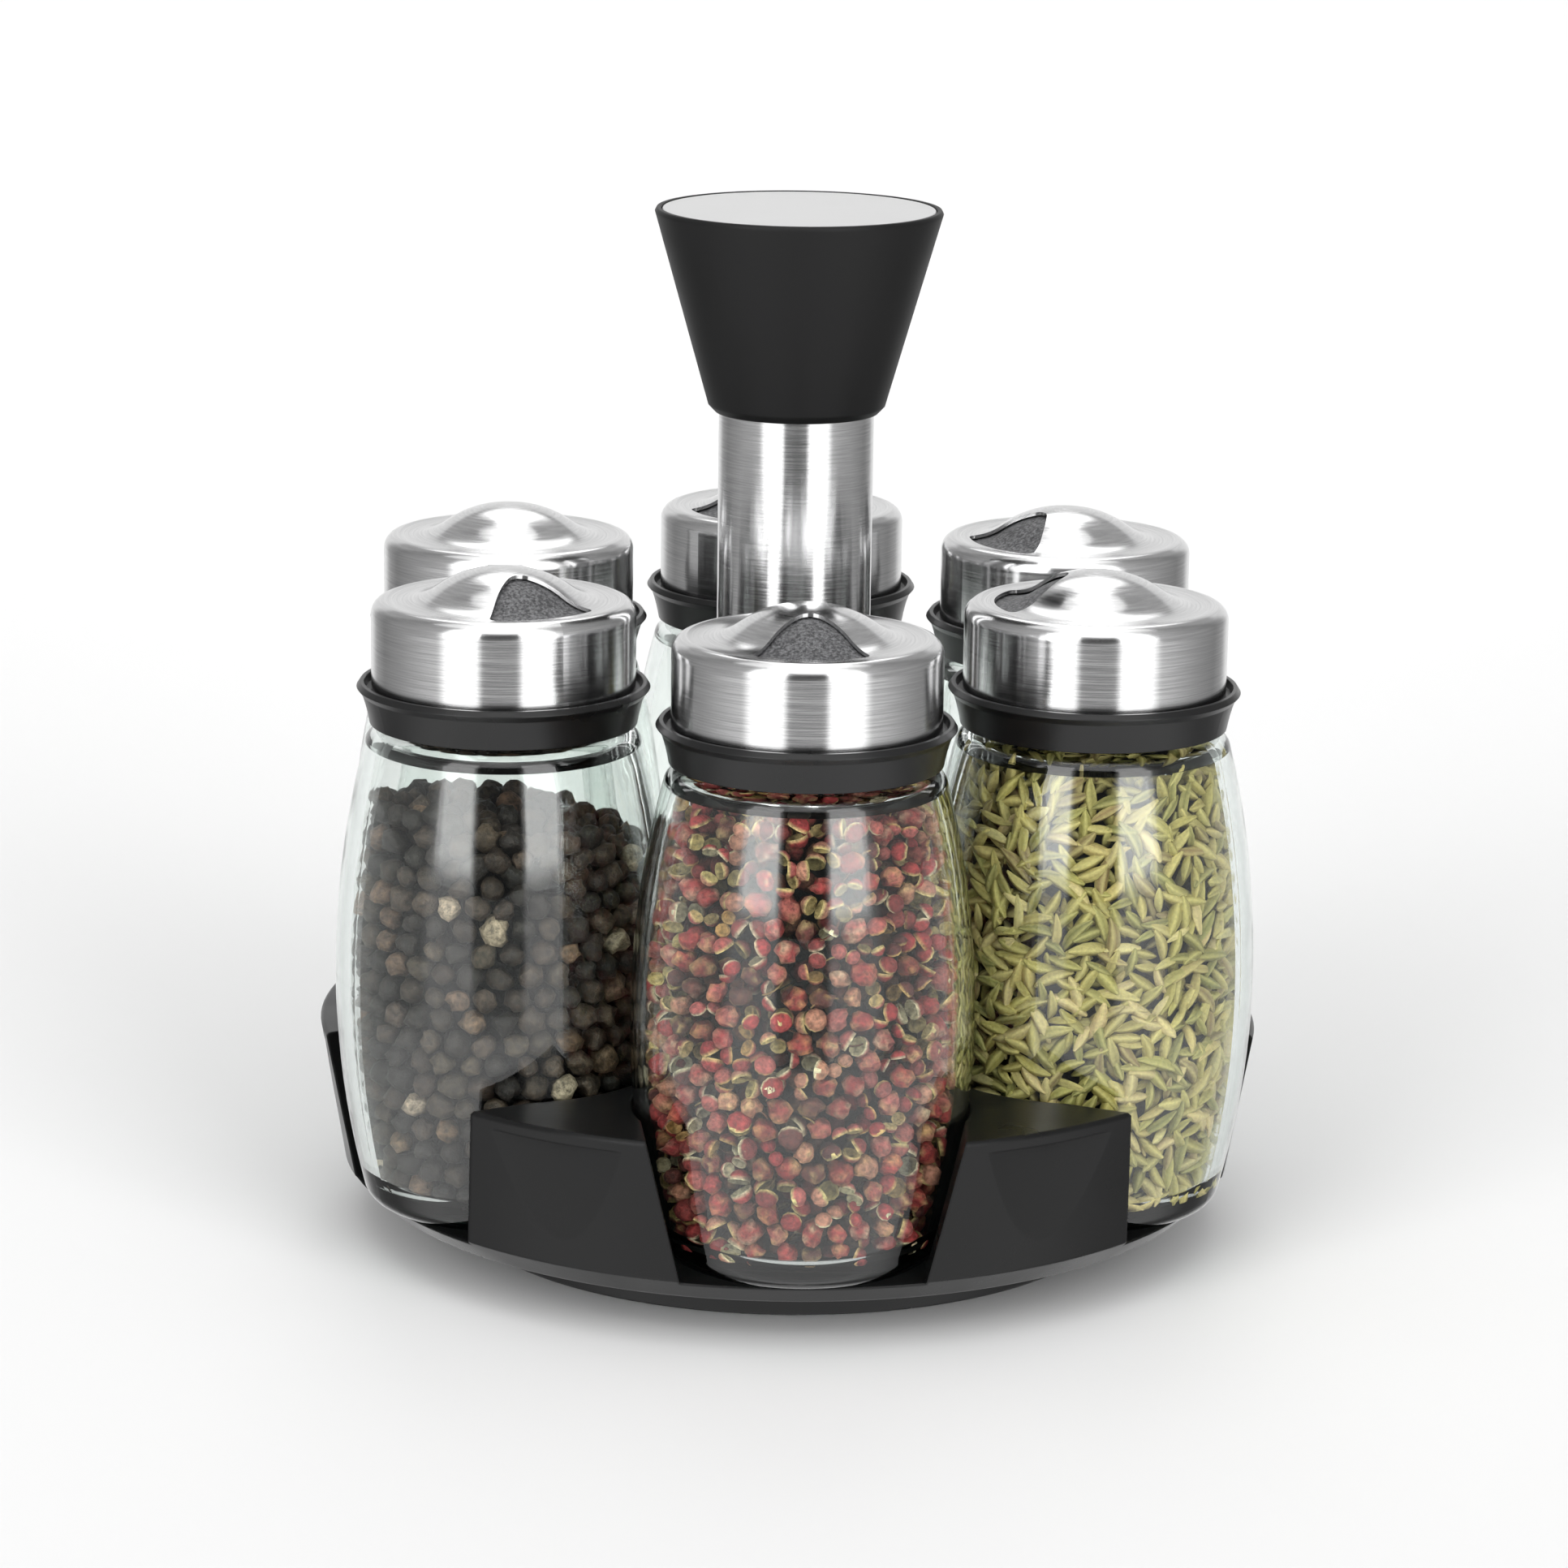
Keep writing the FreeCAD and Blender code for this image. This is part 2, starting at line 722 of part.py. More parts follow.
def base_foot():
    skirt = dims.foot_skirt_wall
    plate = turned("FootPlate", [
        (dims.foot_hole_radius, dims.foot_plate_bottom),
        (dims.race_radius - dims.race_half_width, dims.foot_plate_bottom),
        (dims.race_radius - dims.race_half_width, dims.race_rib_bottom),
        (dims.race_radius + dims.race_half_width, dims.race_rib_bottom),
        (dims.race_radius + dims.race_half_width, dims.foot_plate_bottom),
        (dims.foot_radius - skirt, dims.foot_plate_bottom),
        (dims.foot_low_radius - skirt, dims.foot_skirt_bottom),
        (dims.foot_low_radius, dims.foot_skirt_bottom),
        (dims.foot_radius, dims.foot_brow_level),
        (dims.foot_brow_radius, dims.foot_top),
        (dims.foot_hole_radius, dims.foot_top),
    ])
    bosses = []
    for place in range(dims.values["pad_count"]):
        boss = cylinder("PadBoss%d" % place, dims.pad_boss_radius, dims.pad_height, dims.foot_plate_bottom + 0.2)
        bosses.append(at_pad(boss, place))
    body = fused("FootBody", [plate] + bosses)
    return keep(boolean("Part::Cut", "Foot", body, ball_groove("LowerGroove", dims.ball_level)), "base_foot")


def at_pad(thing, place):
    angle = math.radians(30.0 + 360.0 / dims.values["pad_count"] * place)
    bind(thing, "Placement.Base.x", dims.pad_ring_radius * math.cos(angle))
    bind(thing, "Placement.Base.y", dims.pad_ring_radius * math.sin(angle))
    return thing


def rubber_feet():
    pads = []
    for place in range(dims.values["pad_count"]):
        pads.append(at_pad(cylinder("Pad%d" % place, dims.pad_radius, Size(0, "0"), dims.pad_height), place))
    group = document.addObject("Part::Compound", "Pads")
    group.Links = pads
    return keep(group, "rubber_feet")


def bearing_balls():
    balls = []
    for place in range(dims.values["ball_count"]):
        angle = math.radians(360.0 / dims.values["ball_count"] * place)
        ball = document.addObject("Part::Sphere", "Ball%d" % place)
        bind(ball, "Radius", dims.ball_radius)
        bind(ball, "Placement.Base.x", dims.race_radius * math.cos(angle))
        bind(ball, "Placement.Base.y", dims.race_radius * math.sin(angle))
        bind(ball, "Placement.Base.z", dims.ball_level)
        balls.append(ball)
    group = document.addObject("Part::Compound", "Balls")
    group.Links = balls
    return keep(group, "bearing_balls")


def ball_cage():
    body = turned("Cage", [
        (dims.race_radius - dims.cage_half_width, dims.cage_bottom),
        (dims.race_radius + dims.cage_half_width, dims.cage_bottom),
        (dims.race_radius + dims.cage_half_width, dims.cage_top),
        (dims.race_radius - dims.cage_half_width, dims.cage_top),
    ])
    sketch = sketch_on(body, "BallHoles", "XY_Plane")
    for place in range(dims.values["ball_count"]):
        angle = math.radians(360.0 / dims.values["ball_count"] * place)
        across = dims.race_radius * math.cos(angle)
        along = dims.race_radius * math.sin(angle)
        hole(sketch, across, along, dims.cage_hole_radius)
    through_pocket(body, "CageHoles", sketch)
    return keep(body, "ball_cage")


def ring_body(name, label, bore, radius, bottom, top):
    return keep(turned(name, [(bore, bottom), (radius, bottom), (radius, top), (bore, top)]), label)


def pivot_bush():
    return keep(turned("Bush", [
        (dims.bush_bore, dims.bush_bottom),
        (dims.bush_radius, dims.bush_bottom),
        (dims.bush_radius, dims.foot_top + 0.02),
        (dims.bush_flange_radius, dims.foot_top + 0.02),
        (dims.bush_flange_radius, dims.bush_flange_top),
        (dims.bush_bore, dims.bush_flange_top),
    ]), "pivot_bush")


def foot_nut():
    prism = document.addObject("Part::Prism", "NutHexagon")
    prism.Polygon = 6
    bind(prism, "Circumradius", dims.nut_corner_radius)
    bind(prism, "Height", dims.washer_bottom - dims.nut_bottom)
    bind(prism, "Placement.Base.z", dims.nut_bottom)
    bore = cylinder("NutBore", dims.rod_radius + 0.02, dims.nut_bottom - 1.0, dims.washer_top)
    return keep(boolean("Part::Cut", "Nut", prism, bore), "foot_nut")


# ---- column and knob


def tie_rod():
    chamfer = dims.rod_chamfer
    return keep(turned("Rod", [
        (0, dims.rod_bottom),
        (dims.rod_radius - chamfer, dims.rod_bottom),
        (dims.rod_radius, dims.rod_bottom + chamfer),
        (dims.rod_radius, dims.rod_top - chamfer),
        (dims.rod_radius - chamfer, dims.rod_top),
        (0, dims.rod_top),
    ]), "tie_rod")


def column():
    inner = dims.tube_radius - dims.tube_wall
    plug = inner - dims.plug_gap
    bore = dims.rod_radius + dims.plug_gap
    ring_body("Tube", "column_tube", inner, dims.tube_radius, dims.tube_bottom + 0.02, dims.knob_bottom - 0.02)
    low_top = dims.tube_bottom + dims.plug_length
    ring_body("LowPlug", "lower_plug", bore, plug, dims.tube_bottom + 0.02, low_top)
    high_bottom = dims.knob_bottom - dims.plug_length
    ring_body("HighPlug", "upper_plug", bore, plug, high_bottom, dims.knob_bottom - 0.02)


def knob():
    bore = dims.rod_radius + 0.4
    seat = dims.insert_radius + 0.05
    return keep(turned("Knob", [
        (bore, dims.knob_bottom),
        (dims.knob_foot_radius, dims.knob_bottom),
        (dims.knob_low_radius, dims.knob_low_level),
        (dims.knob_radius, dims.knob_brow_level),
        (dims.knob_radius - dims.knob_brow, dims.knob_top),
        (dims.plate_seat_radius, dims.knob_top),
        (dims.plate_seat_radius, dims.plate_seat_level),
        (dims.knob_cavity_radius, dims.plate_seat_level),
        (dims.knob_cavity_floor_radius, dims.knob_floor),
        (dims.boss_radius, dims.knob_floor),
        (dims.boss_radius, dims.insert_top),
        (seat, dims.insert_top),
        (seat, dims.insert_bottom),
        (bore, dims.insert_bottom),
    ]), "knob")


def knob_top_disc():
    bottom = dims.plate_seat_level + 0.02
    top = bottom + dims.plate_thickness
    return keep(turned("Plate", [
        (0, bottom),
        (dims.plate_radius, bottom),
        (dims.plate_radius, top - 0.15),
        (dims.plate_radius - 0.15, top),
        (0, top),
    ]), "knob_top_disc")


# ---- the whole carousel

base_foot()
rubber_feet()
pivot_bush()
ball_cage()
bearing_balls()
carousel_tray()
tie_rod()
ring_body("Washer", "foot_washer", dims.rod_clearance_bore, dims.washer_radius, dims.washer_bottom, dims.washer_top)
foot_nut()
column()
knob()
knob_top_disc()
ring_body("Insert", "knob_insert", dims.rod_radius + 0.05, dims.insert_radius, dims.insert_bottom, dims.insert_top)
for jar_number in range(1, dims.values["jar_count"] + 1):
    jar(jar_number)
    seal(jar_number)
    lid_collar(jar_number)
    shaker_disc(jar_number)
    steel_cap(jar_number)
for jar_number, (fill_name, fill_level) in FILLS.items():
    fill(jar_number, fill_name, fill_level)

document.recompute()

for thing in document.Objects:
    if "Invalid" in thing.State or "Error" in thing.State:
        raise RuntimeError("%s failed: %s" % (thing.Name, thing.State))
for part in subparts:
    if part.Shape.isNull() or not part.Shape.isValid() or part.Shape.Volume <= 0:
        raise RuntimeError("%s has no sound shape" % part.Label)

os.makedirs("parts", exist_ok=True)
for part in subparts:
    part.Shape.exportStep("parts/%s.step" % part.Label)
    print("%-22s %10.1f mm3  %d solids" % (part.Label, part.Shape.Volume, len(part.Shape.Solids)))
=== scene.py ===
import math

import bmesh
import bpy
import numpy as np
from mathutils import Matrix, Vector, noise


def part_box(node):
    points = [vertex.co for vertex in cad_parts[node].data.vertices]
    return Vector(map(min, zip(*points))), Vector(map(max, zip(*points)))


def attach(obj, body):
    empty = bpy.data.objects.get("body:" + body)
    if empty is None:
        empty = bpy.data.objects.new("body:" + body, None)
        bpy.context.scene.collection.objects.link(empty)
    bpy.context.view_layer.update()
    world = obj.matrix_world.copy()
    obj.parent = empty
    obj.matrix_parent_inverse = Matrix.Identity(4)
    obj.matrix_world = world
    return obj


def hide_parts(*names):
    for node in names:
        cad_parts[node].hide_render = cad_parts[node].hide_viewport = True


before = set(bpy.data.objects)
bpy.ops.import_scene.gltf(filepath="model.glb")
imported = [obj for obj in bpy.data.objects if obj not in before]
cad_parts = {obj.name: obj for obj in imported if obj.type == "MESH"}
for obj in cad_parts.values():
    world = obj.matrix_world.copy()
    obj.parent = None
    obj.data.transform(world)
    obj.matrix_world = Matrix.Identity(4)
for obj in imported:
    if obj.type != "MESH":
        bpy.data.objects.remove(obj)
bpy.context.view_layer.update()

# Spice carousel: the looks. Metres, in the frame of the CAD model: +Z up, jar 1 at the front on -Y.

JARS = range(1, 7)
TURN = 2.0 * math.pi
MM = 0.001


def jar_axis(jar):
    """Where a jar's axis stands on the floor."""
    low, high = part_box("jar_%d" % jar)
    return Vector(((low[0] + high[0]) / 2, (low[1] + high[1]) / 2, 0.0))


def jar_direction(jar):
    """The angle of a jar about the column."""
    place = jar_axis(jar)
    return math.atan2(place.y, place.x)


# ---- camera, light and floor

CAMERA_TURN = -0.0424
CAMERA_DISTANCE = 0.8979
CAMERA_HEIGHT = 0.3006
CAMERA_PITCH = 0.24025
CAMERA_YAW = 0.0014
CAMERA_ROLL = 0.01448
LENS_MM = 117.34


def make_camera():
    data = bpy.data.cameras.new("camera")
    data.lens = LENS_MM
    data.sensor_width = 36.0
    camera = bpy.data.objects.new("camera", data)
    bpy.context.scene.collection.objects.link(camera)
    place = Matrix.Translation((0, -CAMERA_DISTANCE, CAMERA_HEIGHT))
    place = Matrix.Rotation(CAMERA_TURN, 4, "Z") @ place
    aim = Matrix.Rotation(CAMERA_YAW, 4, "Z") @ Matrix.Rotation(math.pi / 2 - CAMERA_PITCH, 4, "X")
    camera.matrix_world = place @ aim @ Matrix.Rotation(CAMERA_ROLL, 4, "Z")
    bpy.context.scene.camera = camera


class Nodes:
    """Short names for the shader nodes that the materials are made of."""

    def __init__(self, tree):
        self.tree = tree
        tree.nodes.clear()

    def add(self, kind, inputs=None, **settings):
        node = self.tree.nodes.new(kind)
        for name, value in settings.items():
            setattr(node, name, value)
        for name, value in (inputs or {}).items():
            self.feed(node.inputs[name], value)
        return node

    def feed(self, socket, value):
        if isinstance(value, bpy.types.NodeSocket):
            self.tree.links.new(value, socket)
        elif isinstance(value, bpy.types.Node):
            self.tree.links.new(value.outputs[0], socket)
        else:
            socket.default_value = value

    def maths(self, operation, *values):
        node = self.tree.nodes.new("ShaderNodeMath")
        node.operation = operation
        for socket, value in zip(node.inputs, values):
            self.feed(socket, value)
        return node.outputs[0]

    def remap(self, value, low, high, out_low, out_high, smooth=False):
        node = self.add("ShaderNodeMapRange", {
            "Value": value, "From Min": low, "From Max": high, "To Min": out_low, "To Max": out_high,
        })
        node.interpolation_type = "SMOOTHSTEP" if smooth else "LINEAR"
        return node.outputs["Result"]

    def ramp(self, value, stops):
        node = self.tree.nodes.new("ShaderNodeValToRGB")
        elements = node.color_ramp.elements
        while len(elements) < len(stops):
            elements.new(0.5)
        for element, (position, colour) in zip(elements, stops):
            element.position = position
            element.color = colour if len(colour) == 4 else (*colour, 1.0)
        self.feed(node.inputs[0], value)
        return node.outputs["Color"]

    def blend(self, factor, one, two):
        """A number between two numbers."""
        return self.add("ShaderNodeMix", {0: factor, 2: one, 3: two}, data_type="FLOAT").outputs[0]

    def mix(self, factor, one, two, kind="MIX"):
        """A colour between two colours, or the two multiplied."""
        node = self.add("ShaderNodeMix", {0: factor, 6: one, 7: two}, data_type="RGBA", blend_type=kind)
        return node.outputs[2]

    def place(self, shift=(0, 0, 0), scale=(1, 1, 1)):
        """Object coordinates, moved and stretched."""
        coordinates = self.add("ShaderNodeTexCoord")
        node = self.add("ShaderNodeMapping", {
            "Vector": coordinates.outputs["Object"], "Location": shift, "Scale": scale,
        })
        return node.outputs[0]

    def noise(self, vector, scale, detail=2.0, roughness=0.5):
        node = self.add("ShaderNodeTexNoise", {
            "Vector": vector, "Scale": scale, "Detail": detail, "Roughness": roughness,
        })
        return node.outputs[0]

    def bump(self, height, strength, distance, normal=None):
        node = self.add("ShaderNodeBump", {"Height": height, "Strength": strength, "Distance": distance})
        if normal is not None:
            self.feed(node.inputs["Normal"], normal)
        return node.outputs[0]

    def finish(self, shader, volume=None):
        output = self.tree.nodes.new("ShaderNodeOutputMaterial")
        self.feed(output.inputs["Surface"], shader)
        if volume is not None:
            self.feed(output.inputs["Volume"], volume)


def make_material(name):
    material = bpy.data.materials.new(name)
    material.use_nodes = True
    return material, Nodes(material.node_tree)


# Radiance round the horizon: how many degrees from the camera's side, and how bright it is there.
STUDIO = (
    (0, 0.34), (15, 0.34), (20, 1.9), (48, 1.9), (56, 0.62), (75, 0.50),
    (100, 0.40), (123, 0.30), (140, 0.45), (154, 0.93), (180, 0.93),
)
STUDIO_PEAK = 2.0
# What the camera sees behind the object, and the brightness of each patch of the studio.
BACKDROP = 0.93
CEILING = 0.95
SOFTBOX = 3.6
SOFTBOX_FILL = 1.2
PANEL = 2.6
FRONT = 2.0
TABLE_GLOW = 1.7
CAMERA_GAP = 0.10
BEHIND = 0.50
# Soft edges in degrees: the table's in elevation and in azimuth, and the ceiling's in elevation.
TABLE_EDGE = (-21, -16)
TABLE_SIDE = (60, 110)
CEILING_EDGE = (66, 80)
# A patch is (azimuth from, to, soft edge) and (elevation from, to, soft edge), in degrees.
SOFTBOX_PATCH = (20, 48, 3), (2, 44, 4)
BEHIND_PATCH = (130, 190, 12), (26, 95, 6)
PANEL_PATCH = (163, 190, 6), (33, 74, 8)
GAP_PATCH = (-9, 17, 4), (-13, 36, 4)
FRONT_PATCH = (-9, 17, 4), (38, 82, 6)


def fade(nodes, angle, start, end, first, last):
    """Goes smoothly from a first to a last value between two angles in degrees."""
    return nodes.remap(angle, math.radians(start), math.radians(end), first, last, True)


def patch(nodes, azimuth, height, extent):
    """One inside a patch of the studio and zero outside it, with soft edges."""
    inside = None
    for angle, (low, high, edge) in zip((azimuth, height), extent):
        rise = fade(nodes, angle, low - edge / 2, low + edge / 2, 0.0, 1.0)
        fall = fade(nodes, angle, high - edge / 2, high + edge / 2, 1.0, 0.0)
        share = nodes.maths("MULTIPLY", rise, fall)
        inside = share if inside is None else nodes.maths("MULTIPLY", inside, share)
    return inside


def make_world():
    """A white studio as directions: two tall softboxes beside the camera and a dark gap between them,
    a bright table below, a panel over the camera, another at the back, and a pale backdrop."""
    world = bpy.data.worlds.new("studio")
    bpy.context.scene.world = world
    world.use_nodes = True
    nodes = Nodes(world.node_tree)
    direction = nodes.add("ShaderNodeTexCoord").outputs["Generated"]
    turned = nodes.add("ShaderNodeVectorRotate", {
        "Vector": direction, "Angle": -CAMERA_TURN,
    }, rotation_type="Z_AXIS")
    parts = nodes.add("ShaderNodeSeparateXYZ", {"Vector": turned}).outputs
    toward = nodes.maths("MULTIPLY", parts["Y"], -1.0)
    azimuth = nodes.maths("ABSOLUTE", nodes.maths("ARCTAN2", parts["X"], toward))
    height = nodes.maths("ARCSINE", parts["Z"])
    stops = [(degrees / 180.0, (level / STUDIO_PEAK,) * 3) for degrees, level in STUDIO]
    share = nodes.maths("DIVIDE", azimuth, math.pi)
    level = nodes.maths("MULTIPLY", nodes.ramp(share, stops), STUDIO_PEAK)

    level = nodes.blend(patch(nodes, azimuth, height, BEHIND_PATCH), level, BEHIND)
    below = fade(nodes, height, *TABLE_EDGE, 1.0, 0.0)
    table = nodes.maths("MULTIPLY", below, fade(nodes, azimuth, *TABLE_SIDE, 1.0, 0.0))
    level = nodes.blend(table, level, TABLE_GLOW)
    level = nodes.blend(patch(nodes, azimuth, height, GAP_PATCH), level, CAMERA_GAP)

    path = nodes.add("ShaderNodeLightPath").outputs
    softbox = nodes.blend(path["Is Diffuse Ray"], SOFTBOX, SOFTBOX_FILL)
    for extent, brightness in ((SOFTBOX_PATCH, softbox), (PANEL_PATCH, PANEL), (FRONT_PATCH, FRONT)):
        lamp = nodes.maths("MULTIPLY", patch(nodes, azimuth, height, extent), brightness)
        level = nodes.maths("ADD", level, lamp)
    level = nodes.blend(fade(nodes, height, *CEILING_EDGE, 0.0, 1.0), level, CEILING)
    level = nodes.blend(path["Is Camera Ray"], level, BACKDROP)
    background = nodes.add("ShaderNodeBackground", {"Color": (1.0, 1.0, 1.0, 1.0), "Strength": level})
    output = nodes.tree.nodes.new("ShaderNodeOutputWorld")
    nodes.feed(output.inputs["Surface"], background)


OVERHEAD_SIZE = (3.0, 2.4)
OVERHEAD_WATTS = 22.0
OVERHEAD_PLACE = (-0.3, 0.4, 3.2)
OVERHEAD_LEAN = (0.1, -0.17, 1.0)
FLOOR_REACH = 6.0
FLOOR_GREYS = (0.68, 0.69)


def make_lights():
    data = bpy.data.lights.new("overhead", "AREA")
    data.shape = "RECTANGLE"
    data.size, data.size_y = OVERHEAD_SIZE
    data.energy = OVERHEAD_WATTS
    light = bpy.data.objects.new("overhead", data)
    light.location = OVERHEAD_PLACE
    light.rotation_euler = Vector(OVERHEAD_LEAN).to_track_quat("Z", "Y").to_euler()
    bpy.context.scene.collection.objects.link(light)


def make_floor():
    """A pale matt floor that takes the shadow and stays out of the reflections."""
    mesh = bpy.data.meshes.new("floor")
    shape = bmesh.new()
    bmesh.ops.create_grid(shape, x_segments=8, y_segments=8, size=FLOOR_REACH)
    shape.to_mesh(mesh)
    shape.free()
    floor = bpy.data.objects.new("floor", mesh)
    bpy.context.scene.collection.objects.link(floor)
    material, nodes = make_material("floor")
    grain = nodes.noise(nodes.place(), 3.0, 3.0)
    colour = nodes.ramp(grain, [(stop, (grey,) * 3) for stop, grey in enumerate(FLOOR_GREYS)])
    nodes.finish(nodes.add("ShaderNodeBsdfDiffuse", {"Color": colour, "Roughness": 0.4}))
    mesh.materials.append(material)
    floor.visible_glossy = False


# ---- materials


def black_moulding(name, grey, roughness, shine, grain_scale, grain_strength, edge):
    """Moulded black plastic: a fine grain, uneven gloss and soft edges."""
    material, nodes = make_material(name)
    grain = nodes.noise(nodes.place(), grain_scale, 4.0, 0.6)
    patches = nodes.noise(nodes.place(), 60.0, 3.0)
    darker, paler = (grey * 0.85,) * 3, (grey * 1.2, grey * 1.2, grey * 1.25)
    colour = nodes.ramp(patches, [(0.3, darker), (0.7, paler)])
    gloss = nodes.remap(patches, 0.3, 0.7, roughness - 0.05, roughness + 0.06)
    rounded = nodes.add("ShaderNodeBevel", {"Radius": edge}, samples=6)
    normal = nodes.bump(grain, grain_strength, 0.00004, rounded)
    nodes.finish(nodes.add("ShaderNodeBsdfPrincipled", {
        "Base Color": colour, "Roughness": gloss, "Normal": normal, "Specular IOR Level": shine,
    }))
    return material


SPUN_ROUGHNESS = 0.17
STREAKS_PER_METRE = 4200.0
STREAKS_AROUND = 1.6


def spun_steel(name, centre):
    """Steel brushed round an upright axis."""
    material, nodes = make_material(name)
    from_axis = nodes.place((-centre.x, -centre.y, 0.0))
    parts = nodes.add("ShaderNodeSeparateXYZ", {"Vector": from_axis}).outputs
    squares = [nodes.maths("MULTIPLY", parts[axis], parts[axis]) for axis in ("X", "Y")]
    radius = nodes.maths("SQRT", nodes.maths("ADD", *squares))
    safe = nodes.maths("MAXIMUM", radius, 0.5 * MM)
    steps = [nodes.maths("MULTIPLY", length, STREAKS_PER_METRE) for length in (radius, parts["Z"])]
    turning = [
        nodes.maths("MULTIPLY", nodes.maths("DIVIDE", parts[axis], safe), STREAKS_AROUND)
        for axis in ("X", "Y")
    ]
    around = nodes.add("ShaderNodeCombineXYZ", {
        "X": turning[0], "Y": turning[1], "Z": nodes.maths("ADD", *steps),
    })
    streaks = nodes.noise(around, 1.0, 5.0, 0.65)
    colour = nodes.ramp(streaks, [(0.25, (0.48, 0.48, 0.485)), (0.75, (0.72, 0.72, 0.72))])
    gloss = nodes.remap(streaks, 0.3, 0.7, SPUN_ROUGHNESS - 0.04, SPUN_ROUGHNESS + 0.05)
    tangent = nodes.add("ShaderNodeTangent", direction_type="RADIAL", axis="Z")
    normal = nodes.bump(streaks, 0.22, 0.00003)
    nodes.finish(nodes.add("ShaderNodeBsdfPrincipled", {
        "Base Color": colour, "Metallic": 1.0, "Roughness": gloss, "Anisotropic": 0.85,
        "Anisotropic Rotation": 0.25, "Tangent": tangent, "Normal": normal,
    }))
    return material


def brushed_plate(name):
    """The knob's pale plate, brushed in one direction."""
    material, nodes = make_material(name)
    streaks = nodes.noise(nodes.place(scale=(60.0, 6000.0, 1.0)), 1.0, 4.0, 0.6)
    colour = nodes.ramp(streaks, [(0.3, (0.52, 0.52, 0.52)), (0.7, (0.60, 0.60, 0.60))])
    gloss = nodes.remap(streaks, 0.3, 0.7, 0.32, 0.42)
    normal = nodes.bump(streaks, 0.1, 0.00002)
    nodes.finish(nodes.add("ShaderNodeBsdfPrincipled", {
        "Base Color": colour, "Metallic": 1.0, "Roughness": gloss, "Normal": normal,
    }))
    return material


def grained_disc(name):
    """The dark dome under the window: a coarse moulded grain."""
    material, nodes = make_material(name)
    grain = nodes.noise(nodes.place(), 1700.0, 3.0, 0.7)
    colour = nodes.ramp(grain, [(0.40, (0.022, 0.022, 0.024)), (0.65, (0.15, 0.15, 0.155))])
    normal = nodes.bump(grain, 0.6, 0.0001)
    nodes.finish(nodes.add("ShaderNodeBsdfPrincipled", {
        "Base Color": colour, "Roughness": 0.62, "Normal": normal,
    }))
    return material


def plain(name, low, high, roughness, metallic=0.0, scale=300.0):
    """A material for small parts: two tones in fine patches, with a light bump."""
    material, nodes = make_material(name)
    patches = nodes.noise(nodes.place(), scale, 4.0, 0.6)
    colour = nodes.ramp(patches, [(0.3, low), (0.7, high)])
    gloss = nodes.remap(patches, 0.3, 0.7, roughness - 0.06, roughness + 0.06)
    normal = nodes.bump(patches, 0.15, 0.00005)
    nodes.finish(nodes.add("ShaderNodeBsdfPrincipled", {
        "Base Color": colour, "Roughness": gloss, "Metallic": metallic, "Normal": normal,
    }))
    return material


def jar_glass(name):
    """Clear soda glass with a green body colour that shows in thick edges."""
    material, nodes = make_material(name)
    ripple = nodes.noise(nodes.place(), 45.0, 2.0)
    smear = nodes.noise(nodes.place(), 160.0, 4.0, 0.6)
    gloss = nodes.remap(smear, 0.45, 0.8, 0.0, 0.03)
    normal = nodes.bump(ripple, 0.25, 0.0006)
    glass = nodes.add("ShaderNodeBsdfPrincipled", {
        "Base Color": (0.985, 1.0, 0.99, 1.0), "Roughness": gloss, "IOR": 1.5,
        "Transmission Weight": 1.0, "Specular IOR Level": 0.42, "Normal": normal,
    })
    clear = nodes.add("ShaderNodeBsdfTransparent", {"Color": (0.93, 0.96, 0.945, 1.0)})
    path = nodes.add("ShaderNodeLightPath")
    through = nodes.maths("MAXIMUM", path.outputs["Is Shadow Ray"], path.outputs["Is Diffuse Ray"])
    shader = nodes.add("ShaderNodeMixShader", {0: through, 1: glass, 2: clear})
    body = nodes.add("ShaderNodeVolumeAbsorption", {"Color": (0.12, 0.62, 0.42, 1.0), "Density": 10.0})
    nodes.finish(shader, body)
    return material


def dress(node, material):
    """Gives a CAD node its material."""
    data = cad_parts[node].data
    data.materials.clear()
    data.materials.append(material)


# ---- meshes made of rings


def join_rings(shape, rings, flipped=False):
    """Faces between rings that follow each other, each ring closed on itself."""
    for lower, upper in zip(rings, rings[1:]):
        for step in range(len(lower)):
            following = (step + 1) % len(lower)
            corners = [lower[step], lower[following], upper[following], upper[step]]
            corners = list(dict.fromkeys(corners))
            shape.faces.new(corners[::-1] if flipped else corners)


def close_ends(shape, rings):
    """Flat ends on a tube of rings, with every face turned outward."""
    shape.faces.new(rings[0][::-1])
    shape.faces.new(rings[-1])
    bmesh.ops.recalc_face_normals(shape, faces=shape.faces)


def turn_outline(outline, steps):
    """A mesh of an outline of (radius, height) turned about the Z axis; a point on the axis stays one."""
    shape = bmesh.new()
    rings = []
    for radius, height in outline:
        if radius == 0.0:
            rings.append([shape.verts.new((0.0, 0.0, height))] * steps)
            continue
        angles = [TURN * step / steps for step in range(steps)]
        rings.append([
            shape.verts.new((radius * math.cos(angle), radius * math.sin(angle), height))
            for angle in angles
        ])
    join_rings(shape, rings)
    bmesh.ops.recalc_face_normals(shape, faces=shape.faces)
    return shape
